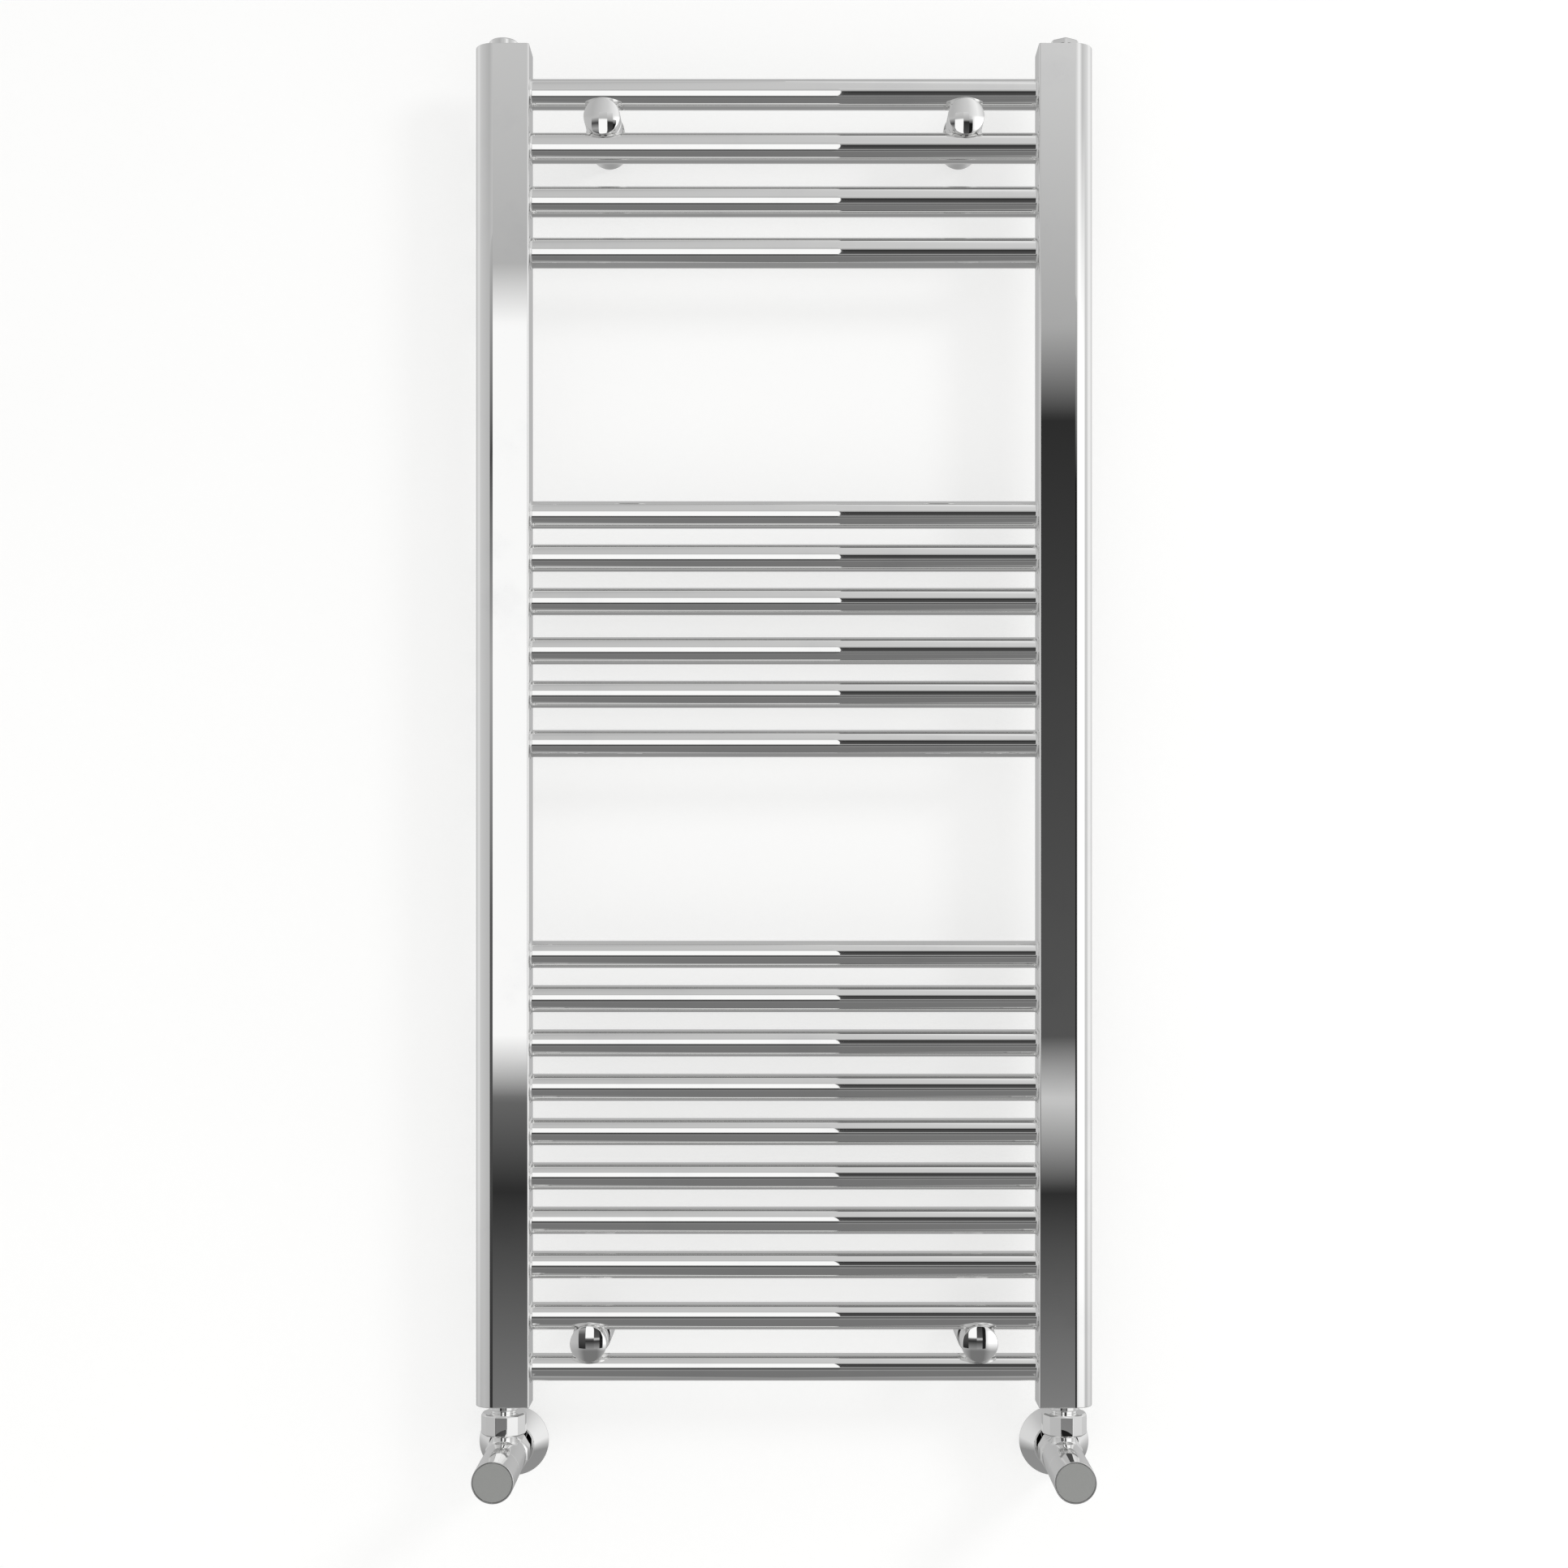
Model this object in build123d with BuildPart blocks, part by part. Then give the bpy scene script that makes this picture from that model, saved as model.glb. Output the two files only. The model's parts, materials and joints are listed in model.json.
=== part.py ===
from build123d import *

import os

# A wall-hung ladder towel radiator with two angled valves, as separate pieces at real size.
# Millimetres. +Z is up, the wall is the plane Y = 0 and the room is on its -Y side.
# The origin lies on the wall, midway between the two upper wall brackets.

os.makedirs("parts", exist_ok=True)

# Overall size
OVERALL_WIDTH = 500.0
COLLECTOR_HEIGHT = 1100.0
RAIL_Y = -68.0

# Collectors: a D-shaped tube, flat towards the rails and round outside
COLLECTOR_DEPTH = 30.0
COLLECTOR_WIDTH = 44.5
COLLECTOR_WALL = 1.5
COLLECTOR_CORNER = 1.5
PORT_X = 227.5
PORT_R = 10.0
END_PLATE = 3.0
SOCKET_R = 13.0
SOCKET_LENGTH = 16.0

# Rails, as heights above the collectors' lower ends
LOWER_BANK_START = 30.5
LOWER_PITCHES = [41.5, 41.5] + [36.0] * 7
MIDDLE_BANK_START = 536.7
MIDDLE_PITCHES = [40.0, 35.3, 40.0, 35.3, 35.0]
UPPER_BANK_START = 935.0
UPPER_PITCHES = [41.6, 43.5, 43.5]
RAIL_R = 11.0
UPPER_RAIL_R = 12.0
RAIL_WALL = 1.2
BEAD = 2.0
BEAD_LAND = 0.2

# Wall brackets
UPPER_BRACKET_X = 147.0
LOWER_BRACKET_X = 158.0
CAP_R = 14.75
CAP_SPLIT = 0.75
CAP_FRONT = 13.0
CAP_DOME = 2.3
EASED_EDGE = 0.7
SADDLE_BACK = 17.0
STEM_R = 11.0
STEM_END_Y = -20.0
STEM_FLAT = 1.0
STEM_FLAT_SETBACK = 4.0
CUP_R = 15.8
CUP_FRONT_Y = -45.0
CUP_BASE = 4.0
CUP_EDGE = 0.5
SLIDING_GAP = 0.05
WALL_HOLE_R = 2.75
WALL_HOLE_SINK_R = 5.5
CLAMP_BOLT_R = 3.0
CLAMP_HEAD_R = 5.0
CLAMP_HEAD_LENGTH = 6.0
CLAMP_KEY_R = 2.5
CLAMP_KEY_DEPTH = 3.0
HEAD_INSET = 1.0
CLAMP_TIP_Y = -78.0
CLAMP_HOLE_R = 3.3
CLAMP_POCKET_R = 5.6
GRUB_R = 2.5
GRUB_Y = -33.0
GRUB_TIP_GAP = 0.1
GRUB_SINK = 0.6
GRUB_SLOT = 0.8
GRUB_SLOT_DEPTH = 1.5

# Top plugs
PLUG_R = 12.0
PLUG_HEAD = 6.0
PLUG_EDGE = 1.2
PLUG_THREAD = 11.0
THREAD_EDGE = 0.8
RING_GROOVE = 1.9
BLANK_KEY_R = 5.0
BLANK_KEY_DEPTH = 5.0
VENT_RECESS_R = 4.5
VENT_RECESS = 4.0
VENT_BORE_DEPTH = 6.0
VENT_PASSAGE_R = 1.25
VENT_OUTLET_R = 0.9
VENT_OUTLET_RISE = 3.6
BLEED_R = 3.0
BLEED_LENGTH = 4.6
BLEED_POINT = 1.6
BLEED_SQUARE = 4.0
BLEED_SQUARE_LENGTH = 3.5
BLEED_SQUARE_EDGE = 0.4

# Valves: the horizontal axis lies this far below the collectors
VALVE_DROP = 45.5
BARREL_R = 16.5
BARREL_FRONT_Y = -101.2
BARREL_BACK_Y = -52.0
BARREL_EDGE = 1.5
BODY_END_Y = -40.0
CHAMBER_R = 11.0
CHAMBER_FRONT_Y = -82.0
SEAT_Y = -60.0
SEAT_R = 6.5
NECK_R = 9.8
NECK_BORE_R = 7.0
NECK_TOP_DROP = 14.0
NECK_COLLAR_R = 11.2
NECK_COLLAR_DROP = 23.0
NECK_COLLAR_LENGTH = 1.2
NECK_COLLAR_TAPER = 0.8
UNION_THREAD_R = 13.2
UNION_R = 18.4
UNION_RIM_R = 16.8
UNION_RIM = 1.4
UNION_TOP = 6.0
UNION_BOTTOM = 23.5
UNION_LIP_GAP = 0.15
NUT_SIDES = 12
TAIL_FLANGE_R = 12.6
TAIL_FLANGE_TOP = 9.5
TAIL_FLANGE = 3.5
TAIL_COLLAR_R = 12.2
TAIL_COLLAR = 3.4
TAIL_THREAD = 12.0
HEAD_R = 16.6
HEAD_FRONT_Y = -139.0
HEAD_BACK_Y = -101.8
HEAD_CAVITY_R = 14.4
HEAD_HUB_R = 7.0
HEAD_HUB_FRONT_Y = -128.0
HEAD_HUB_BACK_Y = -113.4
HEAD_SOCKET_FRONT_Y = -122.6
HEAD_SOCKET_DEPTH = 9.2
HEAD_SOCKET_PLAY = 0.1
HEAD_SCREW_R = 2.0
HEAD_SCREW_HOLE_R = 2.2
HEAD_SCREW_HEAD_R = 3.8
HEAD_SCREW_HEAD = 3.0
HEAD_SCREW_SEAT_R = 4.2
HEAD_SCREW_SEAT_Y = -132.0
HEAD_SCREW_TIP_Y = -114.0
HEAD_SCREW_CROSS = 5.0
HEAD_SCREW_CROSS_WIDTH = 1.0
HEAD_SCREW_CROSS_DEPTH = 1.6
CAP_FLOOR_Y = -132.0
CAP_SLEEVE_R = 10.2
CAP_SLEEVE_BACK_Y = -103.0
CAP_SLEEVE_GAP = 0.3
DISC_R = 15.4
DISC_EDGE = 0.25
DISC_INSET = 0.35
DISC_RECESS_R = 15.7
DISC_RECESS = 1.3
GLAND_R = 12.0
GLAND_NOSE_R = 8.0
GLAND_NOSE_Y = -112.0
GLAND_EDGE = 0.6
GLAND_RING_Y = -93.0
GLAND_RING_WIDTH = 2.0
GLAND_POCKET_R = 6.2
GLAND_POCKET_Y = -85.2
SPINDLE_R = 4.0
SPINDLE_COLLAR_R = 6.0
SPINDLE_COLLAR_BACK_Y = -82.6
SPINDLE_COLLAR_FRONT_Y = -85.0
SPINDLE_ROUND_END_Y = -113.0
SPINDLE_SQUARE = 6.0
SPINDLE_SQUARE_LENGTH = 9.0
SPINDLE_SQUARE_EDGE = 0.5
SPINDLE_TAPPED_DEPTH = 10.0
SPINDLE_TIP_R = 3.0
SPINDLE_TIP_Y = -67.0
JUMPER_R = 8.4
JUMPER_BACK_Y = -63.0
JUMPER_PLATE = 3.0
JUMPER_BOSS_R = 4.4
JUMPER_BOSS = 1.6
JUMPER_HUB_R = 5.5
JUMPER_HUB_FRONT_Y = -76.0
JUMPER_BORE_END_Y = -62.2
SEAT_PLAY = 0.1
PIPE_R = 7.5
PIPE_WALL = 1.0
PIPE_FRONT_Y = -47.0
PIPE_END_Y = 28.0
PIPE_MARK = 0.4
PIPE_MARK_START_Y = 1.0
PIPE_MARK_WIDTH = 2.0
PIPE_SOCKET_END_Y = -44.0
PIPE_FLARE = 1.7
PIPE_NUT_R = 18.0
PIPE_NUT_RIM_R = 16.2
PIPE_NUT_RIM = 1.1
PIPE_NUT_FLOOR_Y = -39.5
PIPE_NUT_CONE_END_Y = -36.0
PIPE_NUT_GAP = 0.1
PIPE_NUT_FRONT_Y = -51.8
PIPE_NUT_BACK_Y = -34.0
OLIVE_R = 8.9
OLIVE_END_R = 7.75
OLIVE_Y = -40.0
OLIVE_HALF = 3.2
ROSETTE_R = 29.2
ROSETTE_RIM = 1.2
ROSETTE_NOSE_R = 19.5
ROSETTE_NOSE_EDGE = 0.8
ROSETTE_HOLE_GAP = 0.3
ROSETTE_DEPTH = 22.0
ROSETTE_WALL = 1.2
RING_R = 0.88


def running_sum(start, steps):
    """Heights that begin at start and rise by each step."""
    heights = [start]
    for step in steps:
        heights.append(heights[-1] + step)
    return heights


LOWER_BANK = running_sum(LOWER_BANK_START, LOWER_PITCHES)
MIDDLE_BANK = running_sum(MIDDLE_BANK_START, MIDDLE_PITCHES)
UPPER_BANK = running_sum(UPPER_BANK_START, UPPER_PITCHES)
BASE_Z = -(UPPER_BANK[-1] + UPPER_BANK[-2]) / 2
TOP_Z = BASE_Z + COLLECTOR_HEIGHT
VALVE_Z = BASE_Z - VALVE_DROP
LOWER_BRACKET_Z = BASE_Z + (LOWER_BANK[0] + LOWER_BANK[1]) / 2
RAILS = [(BASE_Z + height, UPPER_RAIL_R) for height in reversed(UPPER_BANK)]
RAILS += [(BASE_Z + height, RAIL_R) for height in reversed(MIDDLE_BANK)]
RAILS += [(BASE_Z + height, RAIL_R) for height in reversed(LOWER_BANK)]
INNER_X = OVERALL_WIDTH / 2 - COLLECTOR_WIDTH
ROUND_X = OVERALL_WIDTH / 2 - COLLECTOR_DEPTH / 2
BRACKETS = [
    ("top_left", -UPPER_BRACKET_X, 0.0, UPPER_RAIL_R, UPPER_PITCHES[-1]),
    ("top_right", UPPER_BRACKET_X, 0.0, UPPER_RAIL_R, UPPER_PITCHES[-1]),
    ("bottom_left", -LOWER_BRACKET_X, LOWER_BRACKET_Z, RAIL_R, LOWER_PITCHES[0]),
    ("bottom_right", LOWER_BRACKET_X, LOWER_BRACKET_Z, RAIL_R, LOWER_PITCHES[0]),
]
SIDES = [("left", -1), ("right", 1)]


def save(piece, name):
    """Label a finished piece and write it as its own STEP file."""
    piece.part.label = name
    export_step(piece.part, os.path.join("parts", name + ".step"))


def profile_plane(x, z):
    """A plane whose first axis is +Y and whose second is +Z, standing at x, z on the wall."""
    return Plane(origin=(x, 0, z), x_dir=(0, 1, 0), z_dir=(1, 0, 0))


def turned(x, z, points, mode=Mode.ADD):
    """A solid of revolution about the line through x, z along Y, from (y, radius) corners."""
    with BuildSketch(profile_plane(x, z)) as half:
        with BuildLine():
            Polyline(*points, close=True)
        make_face()
    revolve(half.sketch, axis=Axis((x, 0, z), (0, 1, 0)), mode=mode)


def turned_upright(x, points, mode=Mode.ADD):
    """A solid of revolution about the upright line through x in the rail plane, from (radius, z) corners."""
    with BuildSketch(Plane(origin=(x, RAIL_Y, 0), x_dir=(1, 0, 0), z_dir=(0, -1, 0))) as half:
        with BuildLine():
            Polyline(*points, close=True)
        make_face()
    revolve(half.sketch, axis=Axis((x, RAIL_Y, 0), (0, 0, 1)), mode=mode)


def bar(x, z, y_from, y_to, radius, mode=Mode.ADD):
    """A round bar along Y, or the hole of one with Mode.SUBTRACT."""
    with BuildSketch(Plane(origin=(x, y_from, z), x_dir=(1, 0, 0), z_dir=(0, 1, 0))) as end:
        Circle(radius)
    extrude(end.sketch, amount=y_to - y_from, mode=mode)


def post(x, z_from, z_to, radius, mode=Mode.ADD):
    """A round bar along Z in the rail plane, or the hole of one with Mode.SUBTRACT."""
    with BuildSketch(Plane(origin=(x, RAIL_Y, z_from))) as end:
        Circle(radius)
    extrude(end.sketch, amount=z_to - z_from, mode=mode)


def collector_section(side, z, inset):
    """The D outline of a collector, drawn inset mm inside its outer skin."""
    flat_x = side * (INNER_X + inset)
    round_x = side * ROUND_X
    half = COLLECTOR_DEPTH / 2 - inset
    tip = (side * (OVERALL_WIDTH / 2 - inset), 0)
    with BuildSketch(Plane(origin=(0, RAIL_Y, z))) as section:
        with BuildLine():
            Line((round_x, half), (flat_x, half))
            Line((flat_x, half), (flat_x, -half))
            Line((flat_x, -half), (round_x, -half))
            ThreePointArc((round_x, -half), tip, (round_x, half))
        make_face()
        corners = section.vertices().filter_by_position(Axis.X, flat_x - 0.01, flat_x + 0.01)
        fillet(corners, COLLECTOR_CORNER if inset == 0 else COLLECTOR_CORNER / 2)
    return section.sketch


def make_collector(name, side):
    """An upright tube, open at both ends, with one hole in its flat side for each rail."""
    with BuildPart() as collector:
        extrude(collector_section(side, BASE_Z, 0), amount=COLLECTOR_HEIGHT)
        bore = collector_section(side, BASE_Z, COLLECTOR_WALL)
        extrude(bore, amount=COLLECTOR_HEIGHT, mode=Mode.SUBTRACT)
        for z, radius in RAILS:
            flat = Plane(origin=(side * INNER_X, RAIL_Y, z), x_dir=(0, 1, 0), z_dir=(side, 0, 0))
            with BuildSketch(flat):
                Circle(radius)
            extrude(amount=COLLECTOR_WALL, mode=Mode.SUBTRACT)
    save(collector, name)


def make_end_sockets():
    """Welded end plates, each with a threaded socket that reaches into the collector."""
    with BuildPart() as sockets:
        for _, side in SIDES:
            for end_z, inward in ((BASE_Z, 1), (TOP_Z, -1)):
                plate = collector_section(side, end_z, COLLECTOR_WALL)
                extrude(plate, amount=inward * END_PLATE)
                x = side * PORT_X
                post(x, end_z + inward * END_PLATE, end_z + inward * SOCKET_LENGTH, SOCKET_R)
                post(x, end_z, end_z + inward * SOCKET_LENGTH, PORT_R, Mode.SUBTRACT)
    save(sockets, "collector_end_sockets")


def make_rail(name, z, radius):
    """A tube let into both collectors, with a hollow-sided brazed bead against each flat side."""
    end = INNER_X + COLLECTOR_WALL
    bead_end = INNER_X - BEAD_LAND - BEAD
    dip = BEAD * (1 - 0.5**0.5)
    with BuildPart() as tube:
        with BuildSketch(Plane(origin=(0, RAIL_Y, z), x_dir=(1, 0, 0), z_dir=(0, -1, 0))):
            with BuildLine():
                Line((0, radius - RAIL_WALL), (end, radius - RAIL_WALL))
                Line((end, radius - RAIL_WALL), (end, radius))
                Line((end, radius), (INNER_X, radius))
                Line((INNER_X, radius), (INNER_X, radius + BEAD))
                Line((INNER_X, radius + BEAD), (INNER_X - BEAD_LAND, radius + BEAD))
                ThreePointArc(
                    (INNER_X - BEAD_LAND, radius + BEAD),
                    (INNER_X - BEAD_LAND - dip, radius + dip),
                    (bead_end, radius),
                )
                Line((bead_end, radius), (0, radius))
                Line((0, radius), (0, radius - RAIL_WALL))
            make_face()
        revolve(axis=Axis((0, RAIL_Y, z), (1, 0, 0)))
        mirror(about=Plane.YZ)
    save(tube, name)


def cut_rail_grooves(x, z, rail_r, pitch):
    """The two hollows in which a bracket half holds the rails above and below it."""
    for offset in (-pitch / 2, pitch / 2):
        start = Plane(origin=(x - CUP_R, RAIL_Y, z + offset), x_dir=(0, 1, 0), z_dir=(1, 0, 0))
        with BuildSketch(start) as rail_end:
            Circle(rail_r)
        extrude(rail_end.sketch, amount=2 * CUP_R, mode=Mode.SUBTRACT)


def make_bracket_cap(name, x, z, rail_r, pitch):
    """The domed front half of a bracket, with a blind hole for the clamp bolt."""
    front = RAIL_Y - CAP_FRONT
    dome_rim = CAP_R - EASED_EDGE
    dome_r = (dome_rim**2 + CAP_DOME**2) / (2 * CAP_DOME)
    with BuildPart() as cap:
        with BuildSketch(profile_plane(x, z)):
            with BuildLine():
                Line((RAIL_Y - CAP_SPLIT, 0), (RAIL_Y - CAP_SPLIT, CAP_R))
                Line((RAIL_Y - CAP_SPLIT, CAP_R), (front + EASED_EDGE, CAP_R))
                RadiusArc((front + EASED_EDGE, CAP_R), (front, dome_rim), -EASED_EDGE)
                RadiusArc((front, dome_rim), (front - CAP_DOME, 0), -dome_r)
                Line((front - CAP_DOME, 0), (RAIL_Y - CAP_SPLIT, 0))
            make_face()
        revolve(axis=Axis((x, 0, z), (0, 1, 0)))
        cut_rail_grooves(x, z, rail_r, pitch)
        bar(x, z, CLAMP_TIP_Y - 1, RAIL_Y, CLAMP_BOLT_R, Mode.SUBTRACT)
    save(cap, name)


def make_bracket_stems():
    """The rear bracket halves, each with the stem that slides in its wall cup."""
    back = RAIL_Y + SADDLE_BACK
    with BuildPart() as stems:
        for _, x, z, rail_r, pitch in BRACKETS:
            bar(x, z, RAIL_Y + CAP_SPLIT, back, CAP_R)
            cut_rail_grooves(x, z, rail_r, pitch)
            bar(x, z, back, STEM_END_Y, STEM_R)
            bar(x, z, RAIL_Y, STEM_END_Y, CLAMP_HOLE_R, Mode.SUBTRACT)
            pocket_y = STEM_END_Y - HEAD_INSET - CLAMP_HEAD_LENGTH
            bar(x, z, pocket_y, STEM_END_Y, CLAMP_POCKET_R, Mode.SUBTRACT)
            flat_y = back + STEM_FLAT_SETBACK
            with BuildSketch(Plane(origin=(x, flat_y, z - STEM_R), x_dir=(1, 0, 0), z_dir=(0, 1, 0))):
                Rectangle(2 * STEM_R, 2 * STEM_FLAT)
            extrude(amount=STEM_END_Y - flat_y, mode=Mode.SUBTRACT)
    save(stems, "bracket_stems")


def make_clamp_bolts():
    """Hidden socket-head bolts that draw each bracket's two halves together."""
    head_y = STEM_END_Y - HEAD_INSET
    key_y = head_y - CLAMP_KEY_DEPTH
    with BuildPart() as bolts:
        for _, x, z, _, _ in BRACKETS:
            bar(x, z, CLAMP_TIP_Y, head_y - CLAMP_HEAD_LENGTH, CLAMP_BOLT_R)
            bar(x, z, head_y - CLAMP_HEAD_LENGTH, head_y, CLAMP_HEAD_R)
            with BuildSketch(Plane(origin=(x, key_y, z), x_dir=(1, 0, 0), z_dir=(0, 1, 0))):
                RegularPolygon(CLAMP_KEY_R, 6, major_radius=False)
            extrude(amount=CLAMP_KEY_DEPTH, mode=Mode.SUBTRACT)
    save(bolts, "bracket_clamp_bolts")


def make_wall_cup(name, x, z):
    """The round cup that screws to the wall, with a tapped hole underneath for its grub screw."""
    with BuildPart() as cup:
        bar(x, z, CUP_FRONT_Y, 0, CUP_R)
        chamfer(cup.edges().group_by(Axis.Y)[0], CUP_EDGE)
        bar(x, z, CUP_FRONT_Y, -CUP_BASE, STEM_R + SLIDING_GAP, Mode.SUBTRACT)
        with Locations(Plane(origin=(x, -CUP_BASE, z), x_dir=(1, 0, 0), z_dir=(0, -1, 0))):
            CounterSinkHole(WALL_HOLE_R, WALL_HOLE_SINK_R, CUP_BASE, 90)
        with BuildSketch(Plane(origin=(x, GRUB_Y, z - CUP_R - 1))):
            Circle(GRUB_R)
        extrude(amount=CUP_R, mode=Mode.SUBTRACT)
    save(cup, name)


def make_grub_screws():
    """Slotted grub screws under the cups; each stops just short of the flat on its stem."""
    tip = STEM_R - STEM_FLAT + GRUB_TIP_GAP
    length = CUP_R - GRUB_SINK - tip
    with BuildPart() as grubs:
        for _, x, z, _, _ in BRACKETS:
            with BuildSketch(Plane(origin=(x, GRUB_Y, z - tip - length))):
                Circle(GRUB_R)
            extrude(amount=length)
            with BuildSketch(Plane(origin=(x, GRUB_Y, z - tip - length))):
                Rectangle(2 * GRUB_R, GRUB_SLOT)
            extrude(amount=GRUB_SLOT_DEPTH, mode=Mode.SUBTRACT)
    save(grubs, "bracket_grub_screws")


def plug_blank(x):
    """The shared body of both top plugs: a rounded head, a sealing groove and a threaded shank."""
    turned_upright(
        x,
        [
            (0, TOP_Z - PLUG_THREAD),
            (PORT_R - THREAD_EDGE, TOP_Z - PLUG_THREAD),
            (PORT_R, TOP_Z - PLUG_THREAD + THREAD_EDGE),
            (PORT_R, TOP_Z + RING_GROOVE),
            (PORT_R + RING_GROOVE, TOP_Z + RING_GROOVE),
            (PORT_R + RING_GROOVE, TOP_Z),
            (PLUG_R, TOP_Z),
            (PLUG_R, TOP_Z + PLUG_HEAD - PLUG_EDGE),
            (PLUG_R - PLUG_EDGE, TOP_Z + PLUG_HEAD),
            (0, TOP_Z + PLUG_HEAD),
        ],
    )


def make_plugs():
    """An air vent plug on the left, a blanking plug on the right and the vent's bleed screw."""
    top = TOP_Z + PLUG_HEAD
    with BuildPart() as blank:
        plug_blank(PORT_X)
        with BuildSketch(Plane(origin=(PORT_X, RAIL_Y, top - BLANK_KEY_DEPTH))):
            RegularPolygon(BLANK_KEY_R, 6, major_radius=False)
        extrude(amount=BLANK_KEY_DEPTH, mode=Mode.SUBTRACT)
    save(blank, "blanking_plug")

    with BuildPart() as vent:
        plug_blank(-PORT_X)
        bore_z = TOP_Z - VENT_BORE_DEPTH
        post(-PORT_X, bore_z, top, BLEED_R + SLIDING_GAP, Mode.SUBTRACT)
        post(-PORT_X, TOP_Z - PLUG_THREAD, bore_z, VENT_PASSAGE_R, Mode.SUBTRACT)
        post(-PORT_X, top - VENT_RECESS, top, VENT_RECESS_R, Mode.SUBTRACT)
        outlet_z = TOP_Z + VENT_OUTLET_RISE
        with BuildSketch(Plane(origin=(-PORT_X, RAIL_Y, outlet_z), x_dir=(1, 0, 0), z_dir=(0, 1, 0))):
            Circle(VENT_OUTLET_R)
        extrude(amount=PLUG_R, mode=Mode.SUBTRACT)
    save(vent, "air_vent_plug")

    with BuildPart() as bleed:
        post(-PORT_X, TOP_Z - BLEED_LENGTH, top - VENT_RECESS, BLEED_R)
        chamfer(bleed.edges().group_by(Axis.Z)[0], BLEED_POINT)
        with BuildSketch(Plane(origin=(-PORT_X, RAIL_Y, top - VENT_RECESS))):
            Rectangle(BLEED_SQUARE, BLEED_SQUARE)
        extrude(amount=BLEED_SQUARE_LENGTH)
        chamfer(bleed.edges().group_by(Axis.Z)[-1], BLEED_SQUARE_EDGE)
    save(bleed, "bleed_screw")


def cut_nut_rim_upright(x, rim_z, inward):
    """Turns a union nut's rim down to a cone that meets its corners."""
    clear_r = UNION_R + 1.0
    slope = UNION_RIM / (UNION_R - UNION_RIM_R)
    deep_z = rim_z + inward * slope * (clear_r - UNION_RIM_R)
    turned_upright(x, [(UNION_RIM_R, rim_z), (clear_r, rim_z), (clear_r, deep_z)], Mode.SUBTRACT)


def cut_nut_rim(x, rim_y, inward):
    """Turns a pipe nut's rim down to a cone that meets its corners."""
    clear_r = PIPE_NUT_R + 1.0
    slope = PIPE_NUT_RIM / (PIPE_NUT_R - PIPE_NUT_RIM_R)
    deep_y = rim_y + inward * slope * (clear_r - PIPE_NUT_RIM_R)
    turned(x, VALVE_Z, [(rim_y, PIPE_NUT_RIM_R), (rim_y, clear_r), (deep_y, clear_r)], Mode.SUBTRACT)


def make_union_nuts():
    """Nuts that hold each tail's flange down on its valve."""
    top = BASE_Z - UNION_TOP
    bottom = BASE_Z - UNION_BOTTOM
    with BuildPart() as nuts:
        for _, side in SIDES:
            x = side * PORT_X
            with BuildSketch(Plane(origin=(x, RAIL_Y, bottom))):
                RegularPolygon(UNION_R, NUT_SIDES, rotation=180 / NUT_SIDES)
            extrude(amount=top - bottom)
        for _, side in SIDES:
            x = side * PORT_X
            for rim_z, inward in ((top, -1), (bottom, 1)):
                cut_nut_rim_upright(x, rim_z, inward)
            post(x, bottom, BASE_Z - TAIL_FLANGE_TOP, UNION_THREAD_R, Mode.SUBTRACT)
            post(x, bottom, top, PORT_R + UNION_LIP_GAP, Mode.SUBTRACT)
    save(nuts, "union_nuts")


def make_tails():
    """Tails that screw up into the collectors, each with a flange for the union nut."""
    flange_top = BASE_Z - TAIL_FLANGE_TOP
    flange_bottom = flange_top - TAIL_FLANGE
    collar_z = BASE_Z - TAIL_COLLAR
    groove_z = BASE_Z - RING_GROOVE
    end_z = BASE_Z + TAIL_THREAD
    with BuildPart() as tails:
        for _, side in SIDES:
            x = side * PORT_X
            turned_upright(
                x,
                [
                    (NECK_BORE_R, flange_bottom),
                    (TAIL_FLANGE_R, flange_bottom),
                    (TAIL_FLANGE_R, flange_top),
                    (PORT_R, flange_top),
                    (PORT_R, collar_z),
                    (TAIL_COLLAR_R, collar_z),
                    (TAIL_COLLAR_R, BASE_Z),
                    (PORT_R + RING_GROOVE, BASE_Z),
                    (PORT_R + RING_GROOVE, groove_z),
                    (PORT_R, groove_z),
                    (PORT_R, end_z - THREAD_EDGE),
                    (PORT_R - THREAD_EDGE, end_z),
                    (NECK_BORE_R, end_z),
                ],
            )
    save(tails, "valve_tails")


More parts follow.
